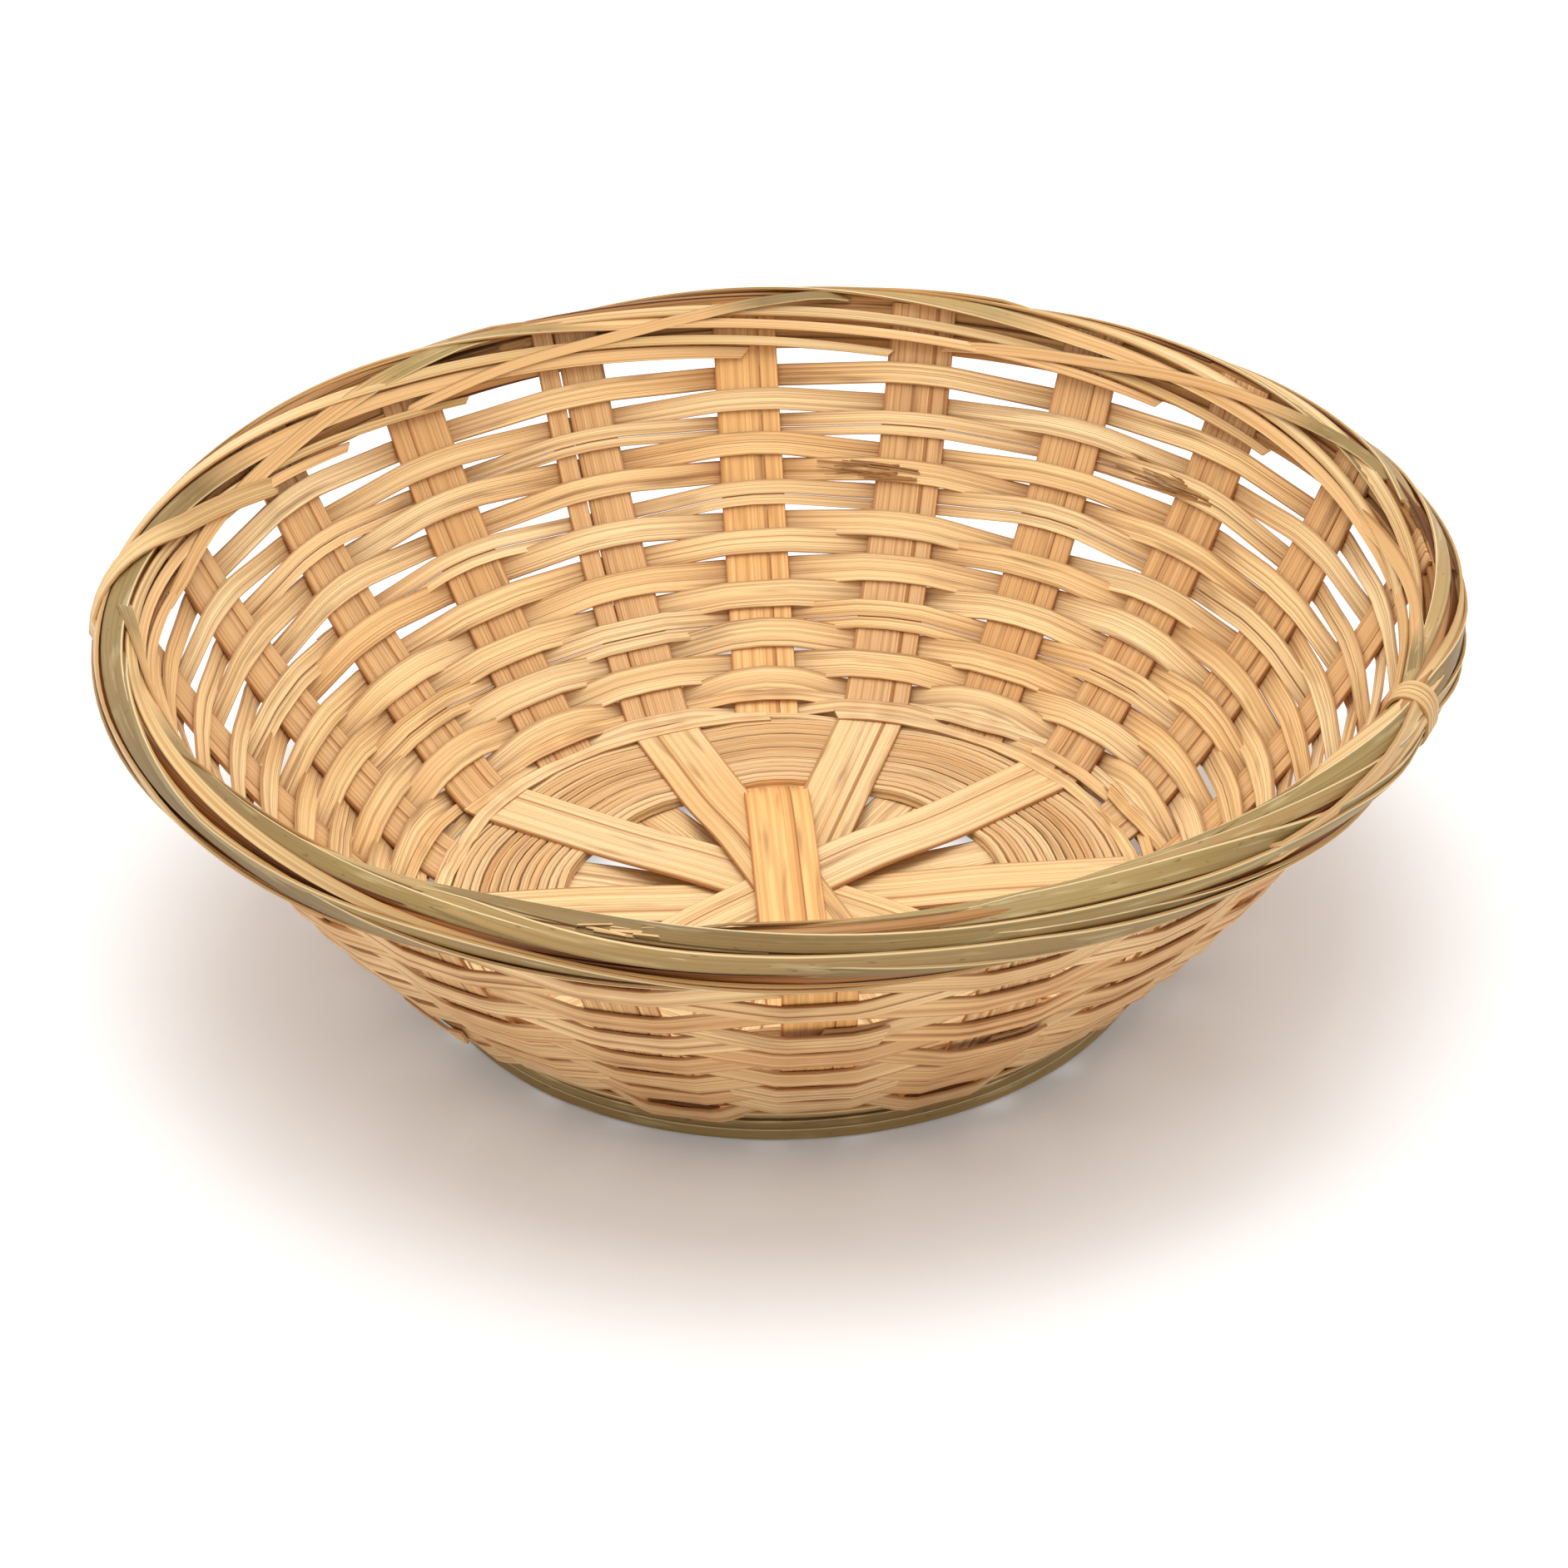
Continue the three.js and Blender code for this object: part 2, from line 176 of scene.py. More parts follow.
@dataclass(frozen=True)
class Form:
    """The basket's driving sizes, the same as its solids', and the fits that follow."""

    rim_diameter: float = 203 * MM
    height: float = 64 * MM
    base_diameter: float = 113 * MM
    rim_lean: float = math.radians(24)
    first_heading: float = math.radians(2.5)
    strips: int = 10
    lock_strip: int = 5
    spoke_width: float = 9.6 * MM
    spoke_thickness: float = 0.6 * MM
    ring_lift: float = 1.1 * MM
    dive: float = 4 * MM
    splint_pieces: int = 3
    splint_pitch: float = 1.5 * MM
    splint_height: float = 1.8 * MM
    splint_thickness: float = 1.1 * MM
    rows: int = 14
    row_thickness: float = 0.7 * MM
    hoop_thickness: float = 3.4 * MM
    bands: int = 8
    band_width: float = 4.2 * MM
    band_thickness: float = 0.8 * MM
    border_depth: float = 10 * MM
    undercut: float = math.radians(15)
    lower_radius: float = 3 * MM
    tie_width: float = 5 * MM
    tie_thickness: float = 0.6 * MM
    tie_gap: int = 18
    foot_height: float = 4.4 * MM
    foot_thickness: float = 2.4 * MM
    foot_band: float = 3.2 * MM
    lay_gap: float = 0.2 * MM
    hub_gap: float = 0.15 * MM

    @cached_property
    def ends(self) -> int:
        """Number of wall stakes: each spoke strip has two."""
        return 2 * self.strips

    @cached_property
    def step(self) -> float:
        """Angle from one stake to the next."""
        return 2 * math.pi / self.ends

    @cached_property
    def base_z(self) -> float:
        """Height of the base ring's middle."""
        return self.foot_height + self.lay_gap + self.spoke_thickness / 2 + self.ring_lift

    @cached_property
    def clear_radius(self) -> float:
        """Radius from which neighbouring spokes lie clear of each other."""
        return self.spoke_width / (2 * math.sin(self.step / 2))

    @cached_property
    def same_side_radius(self) -> float:
        """Radius from which every second spoke lies clear."""
        return self.spoke_width / (2 * math.sin(self.step))

    @cached_property
    def ring_radius(self) -> float:
        """Inner radius of the base ring, at its first splint's middle."""
        return self.clear_radius + self.dive

    @cached_property
    def hub_pitch(self) -> float:
        """Rise from one strip of the star to the next."""
        return self.spoke_thickness + self.hub_gap

    @cached_property
    def row_offset(self) -> float:
        """Distance of a weaver's middle from the stakes' middle."""
        return self.spoke_thickness / 2 + self.lay_gap + self.row_thickness / 2

    @cached_property
    def band_inside(self) -> float:
        """Distance of the border's strips from the stakes' middle, on the inside."""
        return self.spoke_thickness / 2 + self.lay_gap + self.band_thickness / 2

    @cached_property
    def crown_shift(self) -> float:
        """Distance of the crown's centre out from the stakes' middle."""
        return (self.hoop_thickness + self.lay_gap) / 2

    @cached_property
    def crown_radius(self) -> float:
        """Radius of the border's strips over the crown."""
        return self.band_inside + self.crown_shift

    @cached_property
    def crown_reach(self) -> float:
        """How far the border reaches from the crown's centre."""
        return math.hypot(self.crown_radius + self.band_thickness / 2, self.band_width / 2)

    @cached_property
    def tie_passage(self) -> float:
        """Height of the gap under the border that the tie passes through."""
        return self.tie_thickness + 3 * self.lay_gap

    @cached_property
    def border_reach(self) -> float:
        """Length of the border's strips down the inside of the stakes."""
        return self.border_depth - self.tie_passage - self.band_width / 2

    def heading(self, end: float) -> float:
        """Gives the heading of a stake, or of a place between two."""
        return self.first_heading + end * self.step


@dataclass(frozen=True)
class Slope:
    """A place on a line of radius and height: the point, the way up the line and out of it."""

    point: Vector
    up: Vector
    out: Vector


class Wall:
    """The stakes' middle line from base to rim, as radius and height."""

    SAMPLES = 160

    def __init__(self, form: Form) -> None:
        """Draws the line from the form's sizes.

        Args:
            form: The basket's sizes.
        """
        lean = Vector((math.sin(form.rim_lean), math.cos(form.rim_lean)))
        crown = Vector((form.rim_diameter / 2 - form.crown_reach, form.height - form.crown_reach))
        foot = Vector((form.base_diameter / 2, form.base_z))
        self.head = crown - turned(lean) * form.crown_shift
        turn = self.head - lean * ((self.head - foot).length / 2)
        self.points = bent(foot, turn, self.head, self.SAMPLES)
        self.marks = [0.0]
        for near, far in zip(self.points, self.points[1:]):
            self.marks.append(self.marks[-1] + (far - near).length)
        self.length = self.marks[-1]
        self.weave_start = form.foot_band + form.lay_gap
        self.weave_end = self.length - form.border_depth
        self.row_pitch = (self.weave_end - self.weave_start) / form.rows

    def at(self, mark: float) -> Slope:
        """Finds a place on the line.

        Args:
            mark: Length of the line from the base; past either end the line runs on straight.

        Returns:
            The place there.
        """
        span = next((i for i, m in enumerate(self.marks) if m > mark), len(self.marks) - 1)
        span = max(span, 1)
        near, far = self.points[span - 1], self.points[span]
        up = (far - near).normalized()
        return Slope(near + up * (mark - self.marks[span - 1]), up, turned(up))

    @cached_property
    def rim(self) -> Slope:
        """The stakes' head, with the lean of the stretch that the border covers."""
        up = (self.head - self.at(self.weave_end).point).normalized()
        return Slope(self.head, up, turned(up))


class Outline:
    """The line round the border's section: up the inside, over the crown, down and under."""

    def __init__(self, form: Form, wall: Wall) -> None:
        """Sets the straight and rounded pieces of the outline.

        Args:
            form: The basket's sizes.
            wall: The stakes' line.
        """
        rim = wall.rim
        self.bearing = math.atan2(rim.up.y, rim.up.x)
        self.start = rim.point - rim.up * form.border_reach - rim.out * form.band_inside
        self.crown = rim.point + rim.out * form.crown_shift
        foot = rim.point - rim.up * form.border_reach + rim.out * form.band_inside
        run = self.crown.x + form.crown_radius - foot.x
        crown_turn = self.bearing + math.pi / 2
        lower_turn = math.pi / 2 - form.undercut
        tangent = form.lower_radius * math.tan(lower_turn / 2)
        fall = self.crown.y - foot.y - run * math.tan(form.undercut)
        under = run / math.cos(form.undercut) - tangent - form.band_width / 2
        self.pieces = (
            (form.border_reach, 0.0),
            (form.crown_radius * crown_turn, crown_turn),
            (fall - tangent, 0.0),
            (form.lower_radius * lower_turn, lower_turn),
            (under, 0.0),
        )
        self.length = sum(length for length, _ in self.pieces)
        self.inside = form.border_reach
        self.crown_length = form.crown_radius * crown_turn

    def at(self, course: float) -> Slope:
        """Finds a place on the outline.

        Args:
            course: Length of the outline from the inside bottom.

        Returns:
            The place, with the way back along the outline as its up.
        """
        point, bearing, left = self.start.copy(), self.bearing, course
        for length, turn in self.pieces:
            run = min(left, length)
            bend = turn * run / length
            chord = 2 * length * math.sin(bend / 2) / turn if turn else run
            middle = bearing - bend / 2
            point += Vector((math.cos(middle), math.sin(middle))) * chord
            bearing -= bend
            left -= run
        up = -Vector((math.cos(bearing), math.sin(bearing)))
        return Slope(point, up, turned(up))


@dataclass(frozen=True)
class Station:
    """One cross-section of a strip: its place, how it lies, its size and where along the strip it is."""

    place: Vector
    side: Vector
    face: Vector
    width: float
    thickness: float
    run: float  # length of the strip up to here
    course: float  # how browned it is here, by ageing or painted shade, or how far along the border's outline


@dataclass
class Path:
    """A strip's middle line, gathered point by point, with its size and twist at each."""

    width: float
    thickness: float
    points: list[Vector] = field(default_factory=list)
    sides: list[Vector] = field(default_factory=list)
    shares: list[float] = field(default_factory=list)
    twists: list[float] = field(default_factory=list)
    courses: list[float] = field(default_factory=list)

    def add(
        self, point: Vector, side: Vector, share: float = 1.0, twist: float = 0.0, course: float = 0.0
    ) -> None:
        """Adds a point to the line.

        Args:
            point: The middle of the strip.
            side: The way across the strip.
            share: The strip's width there, as a share of its full width.
            twist: How far the strip turns about its own length.
            course: How browned the strip is there, by ageing or painted shade, or the share of the border's
                outline.
        """
        self.points.append(point)
        self.sides.append(side)
        self.shares.append(share)
        self.twists.append(twist)
        self.courses.append(course)

    def stations(self) -> list[Station]:
        """Turns the points into cross-sections square to the line.

        Returns:
            One cross-section for each point.
        """
        made = []
        run = 0.0
        last = len(self.points) - 1
        for i, point in enumerate(self.points):
            run += (point - self.points[max(i - 1, 0)]).length
            way = (self.points[min(i + 1, last)] - self.points[max(i - 1, 0)]).normalized()
            side = (self.sides[i] - way * self.sides[i].dot(way)).normalized()
            side.rotate(Quaternion(way, self.twists[i]))
            face = way.cross(side)
            width = self.width * self.shares[i]
            made.append(Station(point, side, face, width, self.thickness, run, self.courses[i]))
        return made


def lengthwise(stations: Sequence[Station], share: float, middle: float) -> list[Station]:
    """Splits a part off a strip lengthwise.

    Args:
        stations: The strip's cross-sections.
        share: The part's share of the strip's width.
        middle: Where its middle lies across the strip, as a share of the width.

    Returns:
        The part's cross-sections.
    """
    return [replace(s, place=s.place + s.side * (middle * s.width), width=s.width * share) for s in stations]


def runs(edge: bmesh.types.BMEdge, axis: int) -> bool:
    """Tells whether an edge runs along an axis."""
    way = edge.verts[1].co - edge.verts[0].co
    return abs(way[axis]) > NEAR_WHOLE * way.length


@dataclass
class Lath:
    """A split bamboo strip, made flat from a box, then bent to lie along its stations."""

    stations: Sequence[Station]
    number: int  # sets which part of the grain it shows
    cuts: int = 3  # lengthwise ones, so that it can bulge
    crown: float = 0.0  # how far its middle bulges
    edge: float = 0.1 * MM  # taken off its long edges
    skew: float = 0.0  # how slanting its ends are cut
    show: Face = Face.SHOW
    back: Face = Face.BACK

    def add_to(self, body: bmesh.types.BMesh) -> None:
        """Makes the strip and adds it to a piece's mesh.

        Args:
            body: The mesh of the piece.
        """
        strip = self.flat()
        self.mark(strip)
        self.bend(strip)
        mesh = bpy.data.meshes.new("strip")
        strip.to_mesh(mesh)
        strip.free()
        body.from_mesh(mesh)
        bpy.data.meshes.remove(mesh)

    def flat(self) -> bmesh.types.BMesh:
        """Makes the flat strip: a unit-long box with rounded long edges, cut at every station.

        Returns:
            The flat strip, its length from 0 to 1 along X.
        """
        first = self.stations[0]
        strip = bmesh.new()
        bmesh.ops.create_cube(strip, size=1.0, matrix=Matrix.Translation((0.5, 0, 0)))
        bmesh.ops.scale(strip, vec=(1, self.full_width, first.thickness), verts=strip.verts)
        bmesh.ops.bevel(
            strip,
            geom=[e for e in strip.edges if runs(e, 0)],
            offset=self.edge,
            affect="EDGES",
            segments=1,
            profile=0.5,
            material=-1,
        )
        across = [e for e in strip.edges if runs(e, 1)]
        bmesh.ops.subdivide_edges(strip, edges=across, cuts=self.cuts, use_grid_fill=True)
        long_edges = [e for e in strip.edges if runs(e, 0)]
        cuts = len(self.stations) - 2
        bmesh.ops.subdivide_edges(strip, edges=long_edges, cuts=cuts, use_grid_fill=True)
        strip.normal_update()
        return strip

    @cached_property
    def full_width(self) -> float:
        """The strip's width where it is widest."""
        return max(s.width for s in self.stations)

    def station(self, vert: bmesh.types.BMVert) -> Station:
        """Finds the station that a point of the flat strip belongs to."""
        return self.stations[round(vert.co.x * (len(self.stations) - 1))]

    def mark(self, strip: bmesh.types.BMesh) -> None:
        """Writes each face's finish, and where it lies in the grain and on the border.

        Args:
            strip: The flat strip.
        """
        grain = strip.loops.layers.uv.new(GRAIN_MAP)
        place = strip.loops.layers.uv.new(PLACE_MAP)
        shift = self.number * STRIP_SHIFT
        for face in strip.faces:
            show = face.normal.z > 0.5
            face.material_index = (self.show if show else self.back).value
            for corner in face.loops:
                co = corner.vert.co
                station = self.station(corner.vert)
                across = co.y / self.full_width
                corner[grain].uv = (station.run + shift, co.y + co.z + shift)
                corner[place].uv = (across + 0.5, station.course)

    def bend(self, strip: bmesh.types.BMesh) -> None:
        """Bends the flat strip along its stations.

        Args:
            strip: The flat strip.
        """
        last = len(self.stations) - 1
        for vert in strip.verts:
            station = self.station(vert)
            across = vert.co.y / self.full_width
            lift = vert.co.z + self.crown * (1 - 4 * across * across)
            point = station.place + station.side * (across * station.width) + station.face * lift
            if round(vert.co.x * last) in (0, last):
                point += station.side.cross(station.face) * (self.skew * across * station.width)
            vert.co = point


class Piece:
    """One visible piece of the basket: strips in one mesh, standing for a solid."""

    def __init__(self, name: str, node: str) -> None:
        """Starts an empty piece.

        Args:
            name: The piece's own name.
            node: The solid that it stands for.
        """
        self.name = name
        self.node = node
        self.body = bmesh.new()
        self.strips = 0

    def lay(self, lath: Lath) -> None:
        """Lays one strip in the piece."""
        lath.add_to(self.body)
        self.strips += 1

    def dress(self, slot: Slot, *finishes: Material) -> None:
        """Closes the mesh, gives it its finishes and sets it on the frame.

        Args:
            slot: The record's material slot; not used.
            finishes: The finishes, in the order of Face.
        """
        for edge in self.body.edges:
            edge.smooth = edge.calc_face_angle(0.0) < SHARP_ANGLE
        for face in self.body.faces:
            face.smooth = True
        mesh = bpy.data.meshes.new(self.name)
        self.body.to_mesh(mesh)
        self.body.free()
        for finish in finishes:
            mesh.materials.append(finish)
        made = bpy.data.objects.new(self.name, mesh)
        bpy.context.scene.collection.objects.link(made)
        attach(made, BODY)
        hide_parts(self.node)
        LOG.info("%s: %d strips, %d faces", self.name, self.strips, len(mesh.polygons))


@dataclass(frozen=True)
class Blots:
    """A pattern of blots drawn out along the grain."""

    length: float  # of a blot along the strip
    width: float  # and across it
    low: float  # noise level that counts as nothing
    high: float  # noise level that counts as full
    detail: float = 1.0  # how many finer sizes are mixed in


class Recipe:
    """A finish being put together: its node tree and the patterns read off a strip's own maps."""

    BUMP_STRENGTH = 0.8
    IOR = 1.45

    def __init__(self, name: str) -> None:
        """Starts an empty material.

        Args:
            name: The material's name.
        """
        self.made = bpy.data.materials.new(name)
        self.made.use_nodes = True
        self.tree = self.made.node_tree
        self.tree.nodes.clear()
        self.grain = add(self.tree, "ShaderNodeUVMap", uv_map=GRAIN_MAP).outputs["UV"]
        place = add(self.tree, "ShaderNodeUVMap", uv_map=PLACE_MAP).outputs["UV"]
        split = add(self.tree, "ShaderNodeSeparateXYZ", {0: place})
        self.across, self.course = split.outputs[0], split.outputs[1]

    def noise(self, blots: Blots) -> NodeSocket:
        """Draws blots along the grain.

        Args:
            blots: Their size and strength.

        Returns:
            The pattern, from 0 to 1.
        """
        size = {"Vector": self.grain, "Scale": (1 / blots.length, 1 / blots.width, 1)}
        scaled = add(self.tree, "ShaderNodeMapping", size).outputs[0]
        cells = {"Vector": scaled, "Scale": 1.0, "Detail": blots.detail}
        level = add(self.tree, "ShaderNodeTexNoise", cells, noise_dimensions="2D").outputs[0]
        return add(self.tree, "ShaderNodeMapRange", limits(level, (blots.low, blots.high))).outputs[0]

    def edge(self, span: Range) -> NodeSocket:
        """Finds a strip's two edges.

        Args:
            span: Shares of the width, from the strip's middle, over which an edge comes in.

        Returns:
            The pattern, from 0 to 1 at both edges.
        """
        aside = add(self.tree, "ShaderNodeMath", {0: self.across, 1: 0.5}, operation="SUBTRACT").outputs[0]
        away = add(self.tree, "ShaderNodeMath", {0: aside}, operation="ABSOLUTE").outputs[0]
        return add(self.tree, "ShaderNodeMapRange", limits(away, span)).outputs[0]

    def stain(self, under: object, pattern: NodeSocket, share: object, over: object) -> NodeSocket:
        """Lays one colour over another where a pattern says so.

        Args:
            under: The lower colour, as a hex code or a socket.
            pattern: Where the upper colour shows, from 0 to 1.
            share: How much of it shows there, as a number or a socket.
            over: The upper colour, as a hex code or a socket.

        Returns:
            The stained colour.
        """
        amount = add(self.tree, "ShaderNodeMath", {0: pattern, 1: share}, operation="MULTIPLY").outputs[0]
        below, above = (linear(c) if isinstance(c, str) else c for c in (under, over))
        coats = {0: amount, 6: below, 7: above}  # 6 and 7 are the two colours among the node's inputs
        return add(self.tree, "ShaderNodeMix", coats, data_type="RGBA").outputs[2]

    def close(
        self, colour: NodeSocket, roughness: object, height: NodeSocket, relief: float, shine: float
    ) -> Material:
        """Ends the recipe with its surface.

        Args:
            colour: The finished colour.
            roughness: A number or a pattern.
            height: The pattern that stands out of the surface.
            relief: How far it stands out.
            shine: The surface's specular level.

        Returns:
            The material.
        """
        lift = {"Height": height, "Strength": self.BUMP_STRENGTH, "Distance": relief}
        bump = add(self.tree, "ShaderNodeBump", lift).outputs[0]
        surface = {
            "Base Color": colour,
            "Roughness": roughness,
            "IOR": self.IOR,
            "Specular IOR Level": shine,
            "Normal": bump,
        }
        shader = add(self.tree, "ShaderNodeBsdfPrincipled", surface).outputs[0]
        add(self.tree, "ShaderNodeOutputMaterial", {"Surface": shader})
        return self.made


# slow changes of tone along a strip
TONES = Blots(length=80 * MM, width=30 * MM, low=0.3, high=0.7)
# brown lines that run on unbroken
VEINS = Blots(length=700 * MM, width=0.8 * MM, low=0.47, high=0.72)
# thinner lines; real fibres are finer than these, which are drawn as coarse as they need to show
FIBRES = Blots(length=160 * MM, width=0.32 * MM, low=0.42, high=0.78)
# aged streaks
STREAKS = Blots(length=55 * MM, width=0.9 * MM, low=0.48, high=0.7)
# a few burnt spots
STAINS = Blots(length=24 * MM, width=2.4 * MM, low=0.61, high=0.8, detail=2.0)
# slow changes of tone in the skin
SKIN_TONES = Blots(length=90 * MM, width=30 * MM, low=0.3, high=0.7)
# fine lines in the skin, also drawn coarser than the real ones
SKIN_FIBRES = Blots(length=70 * MM, width=0.4 * MM, low=0.45, high=0.75, detail=2.0)
# dark specks
SPECKS = Blots(length=2.5 * MM, width=0.8 * MM, low=0.72, high=0.8)
# pale scuffs
SCUFFS = Blots(length=14 * MM, width=1.2 * MM, low=0.6, high=0.75, detail=2.0)
# wide patches where the skin has turned to straw
STRAW = Blots(length=140 * MM, width=17 * MM, low=0.5, high=0.66, detail=0.0)


@dataclass(frozen=True)
class SplitBamboo:
    """Split bamboo, planed and dried: pale straw with brown lengthwise fibres and a dull surface."""

    name: str
    light: str
    deep: str
    vein: str
    burnt: str = "#6e3f1a"
    # colour of browning: ageing, and on the weavers dust and painted shade near the stakes
    aged: str = "#cf9355"
    aged_and_shade_share: float = 0.0
    vein_share: float = 0.55
    aged_and_shade_vein: float = 0.6
    streak_share: float = 0.3
    stain_share: float = 0.5
    cut_edge_and_shading_share: float = 0.65
    edge_shade_range: Range = (0.42, 0.48)  # shares of the width from the middle, over which an edge browns and takes painted shade
    vein_width: float = VEINS.width
    fibre_width: float = FIBRES.width
    fibre_share: float = 0.35
    relief: float = 0.1 * MM
    roughness: float = 0.58
    smoother: float = 0.06  # by this between the veins
    rougher: float = 0.12  # and by this in them
    shine: float = 0.35

    def material(self) -> Material:
        """Makes the finish as a material.

        Returns:
            The material, read off the strip's own grain map.
        """
        recipe = Recipe(self.name)
        vein = recipe.noise(replace(VEINS, width=self.vein_width))
        fibre = recipe.noise(replace(FIBRES, width=self.fibre_width))
        # veins show more where the strip is browned, by ageing or by painted shade
        browning_and_shade = limits(recipe.course, UP, (self.vein_share, self.aged_and_shade_vein))
        drawn = add(recipe.tree, "ShaderNodeMapRange", browning_and_shade).outputs[0]
        colour = recipe.stain(self.light, recipe.noise(TONES), 1.0, self.deep)
        # browning read off the strip's map: ageing, or dust and painted shade near the stakes
        colour = recipe.stain(colour, recipe.course, self.aged_and_shade_share, self.aged)
        colour = recipe.stain(colour, recipe.noise(STREAKS), self.streak_share, self.aged)
        colour = recipe.stain(colour, vein, drawn, self.vein)
        colour = recipe.stain(colour, fibre, self.fibre_share, self.vein)
        colour = recipe.stain(colour, recipe.noise(STAINS), self.stain_share, self.burnt)
        # dark edges: browned cut edges, and painted shade in the gaps between strips
        colour = recipe.stain(colour, recipe.edge(self.edge_shade_range), self.cut_edge_and_shading_share, self.vein)
        lines = add(recipe.tree, "ShaderNodeMath", {0: vein, 1: fibre}, operation="ADD").outputs[0]
        height = add(recipe.tree, "ShaderNodeMath", {0: 1.0, 1: lines}, operation="SUBTRACT").outputs[0]
        feel = limits(vein, UP, (self.roughness - self.smoother, self.roughness + self.rougher))
        roughness = add(recipe.tree, "ShaderNodeMapRange", feel).outputs[0]
        return recipe.close(colour, roughness, height, self.relief, self.shine)


@dataclass(frozen=True)
class SkinBamboo:
    """Bamboo with its skin on: smooth olive straw, faintly glossy; on the inside of the rim, peeled."""

    name: str
    light: str
    deep: str
    straw: str = "#c29a62"
    inside: str = "#e4b980"
    inside_deep: str = "#bf8648"
    edge: str = "#f3e2b0"
    speck: str = "#5f4a28"
    straw_share: float = 0.45
    fibre_share: float = 0.35
    scuff_share: float = 0.18
    speck_share: float = 0.5
    peel_share: float = 0.8  # of the deeper tone, in the peeled strip's fibres
    peel_range: Range = (0.31, 0.36)  # shares of the border's outline, over which the peeling ends
    pale_cut_edge_and_highlight: Range = (0.92, 0.96)  # shares of the width, from the skin to the pale cut edge, laid on one side only as a painted highlight
    painted_shadow_edge: Range = (0.03, 0.09)  # and from the painted shadow along the other side to the skin
    cut_edge_and_shading_share: float = 0.6
    roughness: float = 0.45
    relief: float = 0.05 * MM
    shine: float = 0.4

    def material(self) -> Material:
        """Makes the finish as a material.

        Returns:
            The material, read off the strip's grain map and its place on the border.
        """
        recipe = Recipe(self.name)
        fibre = recipe.noise(SKIN_FIBRES)
        skin = recipe.stain(self.light, recipe.noise(SKIN_TONES), 1.0, self.deep)
        skin = recipe.stain(skin, recipe.noise(STRAW), self.straw_share, self.straw)
        skin = recipe.stain(skin, fibre, self.fibre_share, self.speck)
        skin = recipe.stain(skin, recipe.noise(SCUFFS), self.scuff_share, self.edge)
        skin = recipe.stain(skin, recipe.noise(SPECKS), self.speck_share, self.speck)
        peeled = recipe.stain(self.inside, fibre, self.peel_share, self.inside_deep)
        peel = add(recipe.tree, "ShaderNodeMapRange", limits(recipe.course, self.peel_range, DOWN))
        skin = recipe.stain(skin, peel.outputs[0], 1.0, peeled)
        # pale cut edge along one side, partly a painted highlight; along the other side a painted shadow
        # under the neighbour
        pale_edge_and_highlight = add(recipe.tree, "ShaderNodeMapRange", limits(recipe.across, self.pale_cut_edge_and_highlight))
        skin = recipe.stain(skin, pale_edge_and_highlight.outputs[0], self.cut_edge_and_shading_share, self.edge)
        shadow_edge = add(recipe.tree, "ShaderNodeMapRange", limits(recipe.across, self.painted_shadow_edge, DOWN))
        skin = recipe.stain(skin, shadow_edge.outputs[0], self.cut_edge_and_shading_share, self.speck)
        return recipe.close(skin, self.roughness, fibre, self.relief, self.shine)


